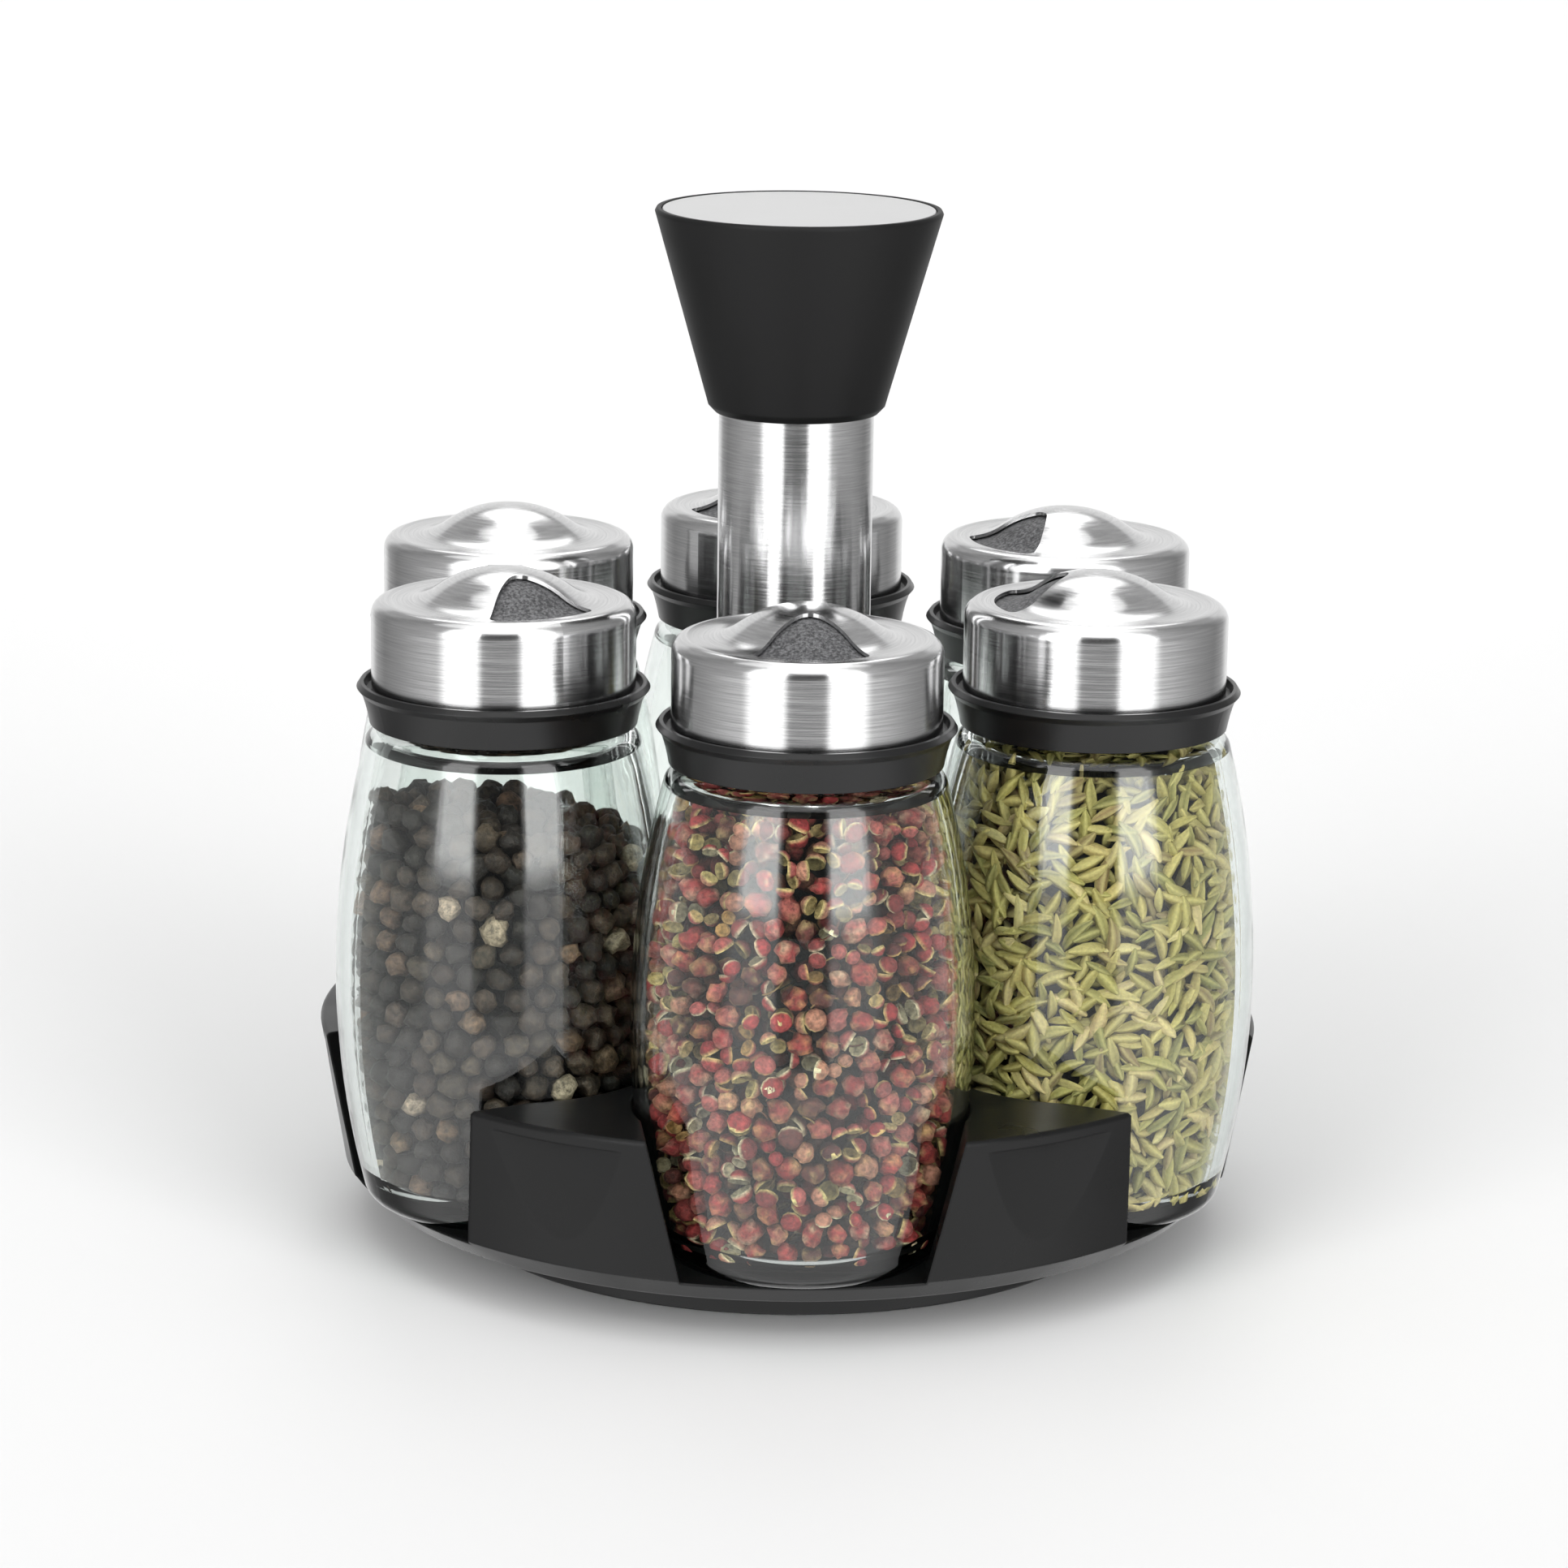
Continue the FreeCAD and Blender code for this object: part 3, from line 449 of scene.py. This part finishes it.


# ---- spices: many small grains against the glass and over the top, round a dark core of painted shade

# The jar's bulge as the CAD model draws it: two arcs that meet at the belly.
BELLY_LEVEL = 54.0 * MM
LOWER_CURVE = 153.0 * MM
UPPER_CURVE = 165.0 * MM
GLASS_WALL = 2.6 * MM
GRAIN_GAP = 0.05 * MM
SETTLE_GAP = 0.15 * MM
SETTLE_ROUNDS = 8
PUSH = 0.32
TINY = 1e-9
BELLY_RADIUS = (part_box("jar_1")[1][0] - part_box("jar_1")[0][0]) / 2
FILL_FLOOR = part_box("peppercorn_fill")[0][2]


def side_radius(level, inset=0.0):
    """The jar's radius at a level (a number or an array of them), a distance inside the outer face."""
    curve = np.where(level < BELLY_LEVEL, LOWER_CURVE, UPPER_CURVE) - inset
    drop = level - BELLY_LEVEL
    return BELLY_RADIUS - inset - curve + np.sqrt(curve * curve - drop * drop)


def layer(generator, grain, inset, top, jitter):
    """Grain centres under the heap's top, in staggered rows at one distance inside the glass."""
    rows = []
    level = FILL_FLOOR + grain * 0.5
    row = 0
    while level < BELLY_LEVEL * 2:
        radius = float(side_radius(level, GLASS_WALL + inset))
        count = int(TURN * radius / grain)
        angles = (np.arange(count) + 0.5 * (row % 2) + generator.uniform(-0.2, 0.2, count)) * TURN / count
        heights = level + generator.uniform(-jitter, jitter, count)
        points = np.stack([radius * np.cos(angles), radius * np.sin(angles), heights], 1)
        rows.append(points[points[:, 2] < top(points[:, 0], points[:, 1]) - grain * 0.5])
        level += grain * 0.86
        row += 1
    return np.concatenate(rows)


def top_cover(generator, grain, top, depth=2):
    """Grain centres over the top of the heap."""
    points = []
    for under in range(depth):
        spots = np.arange(-BELLY_RADIUS, BELLY_RADIUS, grain * 0.92)
        x, y = np.meshgrid(spots, spots)
        x = x.ravel() + generator.uniform(-0.3, 0.3, x.size) * grain
        y = y.ravel() + generator.uniform(-0.3, 0.3, y.size) * grain
        z = top(x, y) - grain * (0.5 + 0.8 * under) + generator.uniform(-0.25, 0.35, x.size) * grain
        inside = np.hypot(x, y) < side_radius(z, GLASS_WALL + grain * 0.5)
        points.append(np.stack([x, y, z], 1)[inside])
    return np.concatenate(points)


def settle(points, sizes, top):
    """Pushes overlapping grains apart and keeps them inside the glass and under the heap's surface."""
    for _ in range(SETTLE_ROUNDS):
        apart = points[:, None, :] - points[None, :, :]
        distance = np.sqrt((apart * apart).sum(2)) + TINY
        overlap = np.clip((sizes[:, None] + sizes[None, :]) - distance, 0.0, None)
        np.fill_diagonal(overlap, 0.0)
        points = points + (apart * (PUSH * overlap / distance)[:, :, None]).sum(1)
        points[:, 2] = np.minimum(points[:, 2], top(points[:, 0], points[:, 1]) - sizes * 0.6)
        keep_inside(points, sizes)
    return points


def keep_off_glass(points, sizes, gap):
    """Pulls points inward in place, until balls of these sizes about them clear the glass."""
    limit = side_radius(points[:, 2], GLASS_WALL + gap) - sizes
    radius = np.hypot(points[:, 0], points[:, 1])
    points[:, :2] *= np.minimum(1.0, limit / np.maximum(radius, TINY))[:, None]


def keep_inside(points, sizes):
    """Moves points in place, until balls of these sizes about them clear the floor and the glass."""
    points[:, 2] = np.maximum(points[:, 2], FILL_FLOOR + sizes)
    keep_off_glass(points, sizes, SETTLE_GAP)


def random_turns(generator, count):
    """Rotation matrices spread evenly over all turns."""
    q = generator.normal(size=(count, 4))
    q /= np.linalg.norm(q, axis=1)[:, None]
    w, x, y, z = q.T
    return np.stack([
        1 - 2 * (y * y + z * z), 2 * (x * y - z * w), 2 * (x * z + y * w),
        2 * (x * y + z * w), 1 - 2 * (x * x + z * z), 2 * (y * z - x * w),
        2 * (x * z - y * w), 2 * (y * z + x * w), 1 - 2 * (x * x + y * y),
    ], 1).reshape(count, 3, 3)


def lying_turns(generator, points, tilt):
    """Rotation matrices that lay each grain's X axis along the glass, or flat on the top of the heap."""
    count = len(points)
    outward = points * np.array([1.0, 1.0, 0.0])
    outward /= np.linalg.norm(outward, axis=1)[:, None] + TINY
    outward += generator.normal(size=(count, 3)) * tilt
    along = generator.normal(size=(count, 3))
    along -= outward * (along * outward).sum(1)[:, None] / (outward * outward).sum(1)[:, None]
    along /= np.linalg.norm(along, axis=1)[:, None]
    outward /= np.linalg.norm(outward, axis=1)[:, None]
    side = np.cross(outward, along)
    return np.stack([along, side, outward], 2)


def mesh_arrays(shape):
    """A bmesh of triangles as arrays of its points and faces, with each point's tint."""
    bmesh.ops.triangulate(shape, faces=shape.faces)
    shape.verts.index_update()
    points = np.array([vertex.co for vertex in shape.verts])
    faces = np.array([[vertex.index for vertex in face.verts] for face in shape.faces])
    tints = shape.verts.layers.float.get("tint")
    tint = np.array([vertex[tints] if tints else 0.0 for vertex in shape.verts])
    shape.free()
    return points, faces, tint


def berry(seed, wrinkle, stretch, detail=2):
    """A dried berry of about radius 1 with a wrinkled skin."""
    shape = bmesh.new()
    bmesh.ops.create_icosphere(shape, subdivisions=detail, radius=1.0)
    tint = shape.verts.layers.float.new("tint")
    for vertex in shape.verts:
        spot = vertex.co * 2.6 + Vector((seed * 7.3, seed * 3.1, 0))
        ridge = 1.0 - abs(noise.noise(spot)) * 3.0
        lump = noise.noise(vertex.co * 1.1 + Vector((seed, 0, 5)))
        vertex[tint] = max(0.0, ridge) ** 3 * 0.5
        vertex.co *= 1.0 + wrinkle * (ridge - 0.6) + 0.22 * lump
        vertex.co.z *= stretch
    return mesh_arrays(shape)


SEED_RIDGE = 0.15
SEED_FLATNESS = 0.85
SEED_POINT = 0.62


def seed_grain(length, width, bend, around, stations):
    """A curved ridged seed with pointed ends, its length along X."""
    shape = bmesh.new()
    tint = shape.verts.layers.float.new("tint")
    rings = []
    for station in range(stations):
        t = station / (stations - 1)
        x = (t - 0.5) * length
        thick = width / 2 * math.sin(math.pi * min(max(t, 0.03), 0.97)) ** SEED_POINT
        lift = bend * length * (1.0 - (2 * t - 1) ** 2)
        ring = []
        for step in range(around):
            angle = TURN * step / around
            out = thick * (1.0 - SEED_RIDGE if step % 2 else 1.0 + SEED_RIDGE)
            vertex = shape.verts.new((
                x, out * math.cos(angle) + lift, out * math.sin(angle) * SEED_FLATNESS,
            ))
            vertex[tint] = 0.0 if step % 2 else 1.0
            ring.append(vertex)
        rings.append(ring)
    join_rings(shape, rings)
    close_ends(shape, rings)
    return mesh_arrays(shape)


HUSK_INNER = 0.80
HUSK_LIP = 0.9
HUSK_HINGE = Vector((0, 0, 0.9))
HUSK_REACH = 1.35


def husk(seed, opening, around=10, stations=4):
    """A split seed husk: two cupped halves open at a hinge, with pale insides and lips."""
    shape = bmesh.new()
    tint = shape.verts.layers.float.new("tint")
    for side in (-1, 1):
        swing = Matrix.Rotation(side * opening, 3, "Y")
        for inside, radius in ((False, 1.0), (True, HUSK_INNER)):
            rings = []
            for station in range(stations + 1):
                lip = station == stations
                polar = math.pi / 2 * station / stations
                ring = []
                for step in range(around):
                    angle = TURN * step / around
                    spot = Vector((
                        0.0 if lip else side * math.cos(polar),
                        math.sin(polar) * math.cos(angle),
                        math.sin(polar) * math.sin(angle),
                    ))
                    bumpy = noise.noise(spot * 3.1 + Vector((seed * 5.7, side, 0)))
                    lumps = 0.0 if inside else 0.09 * bumpy
                    spot = spot * radius * (1.0 + lumps) * (HUSK_LIP / radius if lip else 1.0)
                    vertex = shape.verts.new(swing @ (spot + HUSK_HINGE) - HUSK_HINGE)
                    vertex[tint] = 1.0 if inside or lip else 0.0
                    ring.append(vertex)
                rings.append(ring)
            join_rings(shape, rings, (side > 0) == inside)
    bmesh.ops.remove_doubles(shape, verts=shape.verts, dist=0.002)
    points, faces, tint = mesh_arrays(shape)
    points -= (points.min(0) + points.max(0)) / 2
    return points / np.linalg.norm(points, axis=1).max() * HUSK_REACH, faces, tint


STALK_LENGTH = 3.2
STALK_RADIUS = 0.11


def stalk(seed, bend, around=5, spans=5):
    """A thin bent stalk, its length along X."""
    shape = bmesh.new()
    rings = []
    for station in range(spans + 1):
        t = station / spans
        wander = 0.3 * noise.noise(Vector((seed, t, 0)))
        centre = Vector(((t - 0.5) * STALK_LENGTH, bend * (2 * t - 1) ** 2, wander))
        angles = [TURN * step / around for step in range(around)]
        rings.append([
            shape.verts.new(centre + Vector((0, math.cos(angle), math.sin(angle))) * STALK_RADIUS)
            for angle in angles
        ])
    join_rings(shape, rings)
    close_ends(shape, rings)
    return mesh_arrays(shape)


def depth_in_heap(points, top):
    """How deep points lie behind the glass or under the heap's surface, whichever is nearer."""
    from_glass = side_radius(points[:, 2], GLASS_WALL) - np.hypot(points[:, 0], points[:, 1])
    from_top = top(points[:, 0], points[:, 1]) - points[:, 2]
    return np.minimum(from_glass, from_top)


# Painted shade levels: the colour factor deep in the gaps, and what is added at the front of the heap.
PAINTED_GAP_LIGHT = 0.06
PAINTED_FRONT_LIGHT = 1.04
# Painted shade: the near-black of the heap's core, standing in for the shaded grains deep inside.
CORE_SHADE_GREY = 0.01


def painted_shade_at(points, top, gap_depth):
    """Painted shade in the gaps between the grains: a colour factor, less the deeper a point lies."""
    depth = np.maximum(depth_in_heap(points, top), 0.0) / gap_depth
    return PAINTED_GAP_LIGHT + PAINTED_FRONT_LIGHT * np.exp(-depth * depth)


def coloured_mesh(name, vertices, faces, colours):
    """A smooth mesh of triangles with a colour at each point."""
    mesh = bpy.data.meshes.new(name)
    mesh.vertices.add(len(vertices))
    mesh.vertices.foreach_set("co", vertices.ravel())
    mesh.loops.add(faces.size)
    mesh.loops.foreach_set("vertex_index", faces.ravel())
    mesh.polygons.add(len(faces))
    mesh.polygons.foreach_set("loop_start", np.arange(0, faces.size, 3))
    mesh.update(calc_edges=True)
    mesh.validate()
    colours = np.concatenate([colours, np.ones((len(colours), 1))], 1)
    mesh.color_attributes.new("tint", "FLOAT_COLOR", "POINT").data.foreach_set("color", colours.ravel())
    mesh.shade_smooth()
    return mesh


def heap_piece(name, jar, node, material, groups, core_inset, top, gap_depth):
    """Joins groups of grains and a dark core (painted shade inside the heap) into a jar's fill."""
    vertices, faces, colours = [], [], []
    first = 0
    for template, points, turns, sizes, tone, inner_tone in groups:
        local, triangles, tint = template
        placed = np.einsum("gij,vj->gvi", turns, local) * sizes[:, None, None] + points[:, None, :]
        placed = placed.reshape(-1, 3)
        keep_off_glass(placed, 0.0, GRAIN_GAP)
        placed[:, 2] = np.maximum(placed[:, 2], FILL_FLOOR)
        vertices.append(placed)
        offsets = first + np.arange(len(points))[:, None, None] * len(local)
        faces.append((triangles[None] + offsets).reshape(-1, 3))
        share = tint[None, :, None]
        shade = tone[:, None, :] * (1 - share) + inner_tone[:, None, :] * share
        # Painted shade: each point's colour is darkened by how deep it lies behind the glass or under the
        # top.
        colours.append(shade.reshape(-1, 3) * painted_shade_at(placed, top, gap_depth)[:, None])
        first += len(placed)
    core, core_faces = core_arrays(core_inset, top)
    vertices.append(core)
    faces.append(core_faces + first)
    # Painted shade: the core is near-black, in place of the shaded grains deep in the heap.
    colours.append(np.full((len(core), 3), CORE_SHADE_GREY))
    vertices = np.concatenate(vertices) + np.array(jar_axis(jar))
    mesh = coloured_mesh(name, vertices, np.concatenate(faces), np.concatenate(colours))
    mesh.materials.append(material)
    piece = bpy.data.objects.new(name, mesh)
    bpy.context.scene.collection.objects.link(piece)
    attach(piece, "jar_%d" % jar)
    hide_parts(node)


def core_arrays(inset, top):
    """The dark middle of a heap, as arrays: painted shade in place of the grains deep inside."""
    level = float(top(np.zeros(1), np.zeros(1))[0]) - 9 * MM
    heights = np.linspace(FILL_FLOOR + 2.5 * MM, level, 14)
    outline = [(0.0, heights[0])]
    outline += [(float(side_radius(height, GLASS_WALL + inset)), float(height)) for height in heights]
    outline += [(0.0, level + 2 * MM)]
    points, faces, _ = mesh_arrays(turn_outline(outline, 40))
    return points, faces


def tones(generator, count, palette, spread):
    """A colour for each grain, from a palette of (share, colour), each a little different."""
    shares = np.array([share for share, _ in palette])
    chosen = generator.choice(len(palette), count, p=shares / shares.sum())
    colours = np.array([colour for _, colour in palette])[chosen]
    brightness = generator.uniform(1 - spread, 1 + spread, (count, 1))
    return colours * brightness * generator.uniform(0.96, 1.04, (count, 3))


def grain_material(name, roughness, bump_scale, bump_strength, mottle):
    """Takes each grain's colour from the mesh, and mottles and wrinkles it finely."""
    material, nodes = make_material(name)
    tint = nodes.add("ShaderNodeAttribute", attribute_name="tint").outputs["Color"]
    spots = nodes.noise(nodes.place(), bump_scale, 4.0, 0.65)
    dark = nodes.mix(1.0, tint, (mottle, mottle, mottle, 1.0), "MULTIPLY")
    colour = nodes.mix(nodes.remap(spots, 0.35, 0.65, 0.0, 1.0), dark, tint)
    normal = nodes.bump(spots, bump_strength, 0.0006)
    nodes.finish(nodes.add("ShaderNodeBsdfPrincipled", {
        "Base Color": colour, "Roughness": roughness, "Normal": normal, "Specular IOR Level": 0.35,
    }))
    return material


def share_out(generator, points, sizes, templates, turns, tone, inner_tone, coarse=None, fine=None):
    """Splits grains between the templates; those that a mask doesn't call fine take coarse ones."""
    picked = generator.integers(0, len(templates), len(points))
    if coarse is not None:
        templates = templates + coarse
        picked = np.where(fine, picked, len(templates) - len(coarse) + picked % len(coarse))
    groups = []
    for index, template in enumerate(templates):
        own = picked == index
        if own.any():
            groups.append((template, points[own], turns[own], sizes[own], tone[own], inner_tone[own]))
    return groups


def heap_top(level, tilt, direction, ripple, seed):
    """The height of a heap's surface as a function of the place: a slope and a ripple."""
    def top(x, y):
        along = x * math.cos(direction) + y * math.sin(direction)
        wave = np.sin(x * 260 + seed) * np.cos(y * 310 + seed * 2)
        return level + tilt * along + ripple * wave
    return top


def peppercorns(jar, node):
    """Dark wrinkled berries in a slanting heap."""
    generator = np.random.default_rng(11)
    grain = 4.7 * MM
    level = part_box(node)[1][2] - 5.0 * MM
    top = heap_top(level, 0.15, jar_direction(jar) - 0.2, 1.6 * MM, 1.0)
    points = np.concatenate([
        layer(generator, grain, grain * 0.5, top, 0.5 * MM),
        layer(generator, grain, grain * 1.35, top, 0.8 * MM),
        top_cover(generator, grain, top),
    ])
    sizes = grain / 2 * generator.uniform(0.82, 1.12, len(points))
    points = settle(points, sizes, top)
    palette = [
        (6, (0.022, 0.016, 0.012)), (4, (0.050, 0.033, 0.022)), (3, (0.085, 0.058, 0.040)),
        (0.3, (0.66, 0.52, 0.37)), (1.5, (0.20, 0.12, 0.075)),
    ]
    tone = tones(generator, len(points), palette, 0.25)
    templates = [berry(seed, 0.26, generator.uniform(0.85, 1.0)) for seed in range(9)]
    ridge_tone = tone * 1.6 + 0.02
    coarse = [berry(seed, 0.26, 0.9, 1) for seed in range(4)]
    fine = depth_in_heap(points, top) < grain * 0.9
    turns = random_turns(generator, len(points))
    groups = share_out(generator, points, sizes, templates, turns, tone, ridge_tone, coarse, fine)
    material = grain_material("peppercorn", 0.5, 900.0, 1.0, 0.22)
    heap_piece("peppercorns", jar, node, material, groups, grain * 1.9, top, 3.4 * MM)


def sichuan_peppers(jar, node):
    """Red berries, split husks with pale insides, and stalks."""
    generator = np.random.default_rng(23)
    grain = 4.4 * MM
    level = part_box(node)[1][2] - 1.0 * MM
    top = heap_top(level, 0.03, 0.6, 1.0 * MM, 2.0)
    points = np.concatenate([
        layer(generator, grain, grain * 0.5, top, 0.6 * MM),
        layer(generator, grain, grain * 1.3, top, 0.8 * MM),
        top_cover(generator, grain, top),
    ])
    sizes = grain / 2 * generator.uniform(0.80, 1.10, len(points))
    points = settle(points, sizes, top)
    count = len(points)
    palette = [
        (5, (0.44, 0.050, 0.050)), (4, (0.50, 0.12, 0.105)), (3, (0.30, 0.048, 0.045)),
        (2, (0.60, 0.26, 0.17)), (1.4, (0.15, 0.040, 0.034)),
    ]
    inner = [(3, (0.95, 0.72, 0.32)), (2, (0.98, 0.84, 0.55)), (1, (0.80, 0.50, 0.19))]
    tone = tones(generator, count, palette, 0.2)
    inner_tone = tones(generator, count, inner, 0.15)
    templates = [berry(seed + 20, 0.30, 0.85) for seed in range(4)]
    openings = (0.4, 0.6, 0.8, 1.1, 1.4)
    templates += [husk(seed, opening) for seed, opening in enumerate(openings, 1)]
    coarse = [berry(30, 0.3, 0.85, 1), husk(2, 0.6, 6, 3), berry(31, 0.3, 0.85, 1), husk(4, 1.1, 6, 3)]
    fine = depth_in_heap(points, top) < grain * 0.9
    turns = random_turns(generator, count)
    groups = share_out(generator, points, sizes, templates, turns, tone, inner_tone, coarse, fine)
    some = generator.choice(count, count // 5, replace=False)
    stalk_tone = tones(generator, len(some), [(2, (0.42, 0.27, 0.11)), (1, (0.22, 0.09, 0.05))], 0.2)
    strays = generator.normal(size=(len(some), 3)) * 0.8 * MM
    spots = points[some] * np.array([0.985, 0.985, 1.0]) + strays
    stalk_sizes = np.full(len(some), 1.5 * MM)
    keep_inside(spots, stalk_sizes)
    groups += share_out(
        generator, spots, stalk_sizes, [stalk(1, 0.5), stalk(2, -0.3)],
        lying_turns(generator, spots, 0.2), stalk_tone, stalk_tone,
    )
    material = grain_material("sichuan_pepper", 0.65, 1100.0, 1.0, 0.35)
    heap_piece("sichuan_peppers", jar, node, material, groups, grain * 1.9, top, 3.8 * MM)


def fennel_seeds(jar, node):
    """Ridged green seeds that lie along the glass."""
    generator = np.random.default_rng(37)
    spacing = 3.0 * MM
    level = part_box(node)[1][2] - 1.0 * MM
    top = heap_top(level, 0.02, 0.0, 0.8 * MM, 3.0)
    points = np.concatenate([
        layer(generator, spacing, 1.1 * MM, top, 0.7 * MM),
        layer(generator, spacing * 1.4, 2.4 * MM, top, 0.9 * MM),
        top_cover(generator, spacing * 1.1, top, 1),
    ])
    count = len(points)
    lengths = generator.uniform(0.85, 1.25, count) * MM
    tone = tones(generator, count, [
        (4, (0.34, 0.28, 0.075)), (3, (0.46, 0.365, 0.13)), (2, (0.20, 0.18, 0.045)),
        (1.5, (0.58, 0.45, 0.21)), (1, (0.25, 0.17, 0.07)),
    ], 0.18)
    pale = tone * 0.7 + np.array([0.34, 0.29, 0.12])
    keep_inside(points, np.full(count, 1.0 * MM))
    turns = lying_turns(generator, points, 0.22)
    flat = points[:, 2] > top(points[:, 0], points[:, 1]) - 3 * MM
    turns[flat] = random_turns(generator, count)[flat]
    templates = [seed_grain(5.8 + 0.3 * shape, 1.8, 0.015 + 0.02 * shape, 8, 7) for shape in range(5)]
    coarse = [seed_grain(6.2, 1.8, 0.03, 6, 5)]
    fine = depth_in_heap(points, top) < 1.8 * MM
    groups = share_out(generator, points, lengths, templates, turns, tone, pale, coarse, fine)
    material = grain_material("fennel", 0.5, 1800.0, 0.5, 0.75)
    heap_piece("fennel_seeds", jar, node, material, groups, 4.2 * MM, top, 2.6 * MM)


make_camera()
make_world()
make_lights()
make_floor()

TRAY_BLACK = black_moulding("tray_black", 0.006, 0.30, 0.20, 900.0, 0.25, 0.8 * MM)
KNOB_BLACK = black_moulding("knob_black", 0.007, 0.5, 0.2, 1400.0, 0.15, 0.8 * MM)
COLLAR_BLACK = black_moulding("collar_black", 0.008, 0.30, 0.3, 700.0, 0.1, 0.3 * MM)
STEEL_COLUMN = spun_steel("column_steel", Vector((0, 0, 0)))
GLASS = jar_glass("jar_glass")
ZINC = plain("zinc_steel", (0.50, 0.51, 0.52), (0.66, 0.66, 0.68), 0.35, 1.0)
BRASS = plain("brass", (0.62, 0.42, 0.16), (0.78, 0.58, 0.28), 0.3, 1.0)
NYLON = plain("nylon", (0.62, 0.60, 0.54), (0.74, 0.72, 0.67), 0.5)
RUBBER = plain("rubber", (0.012, 0.012, 0.012), (0.035, 0.035, 0.035), 0.8, 0.0, 900.0)
SILICONE = plain("silicone", (0.60, 0.60, 0.58), (0.72, 0.72, 0.70), 0.45)
DISC = grained_disc("disc_plastic")

dress("base_foot", TRAY_BLACK)
dress("carousel_tray", TRAY_BLACK)
dress("rubber_feet", RUBBER)
for node in ("pivot_bush", "ball_cage", "lower_plug", "upper_plug"):
    dress(node, NYLON)
for node in ("tie_rod", "foot_nut", "foot_washer", "bearing_balls"):
    dress(node, ZINC)
dress("knob_insert", BRASS)
dress("column_tube", STEEL_COLUMN)
dress("knob", KNOB_BLACK)
dress("knob_top_disc", brushed_plate("knob_plate"))
for jar in JARS:
    dress("jar_%d" % jar, GLASS)
    dress("seal_%d" % jar, SILICONE)
    dress("lid_collar_%d" % jar, COLLAR_BLACK)
    dress("shaker_disc_%d" % jar, DISC)
    dress("steel_cap_%d" % jar, spun_steel("cap_steel_%d" % jar, jar_axis(jar)))
peppercorns(6, "peppercorn_fill")
sichuan_peppers(1, "sichuan_pepper_fill")
fennel_seeds(2, "fennel_fill")

bpy.context.scene.view_settings.view_transform = "Standard"
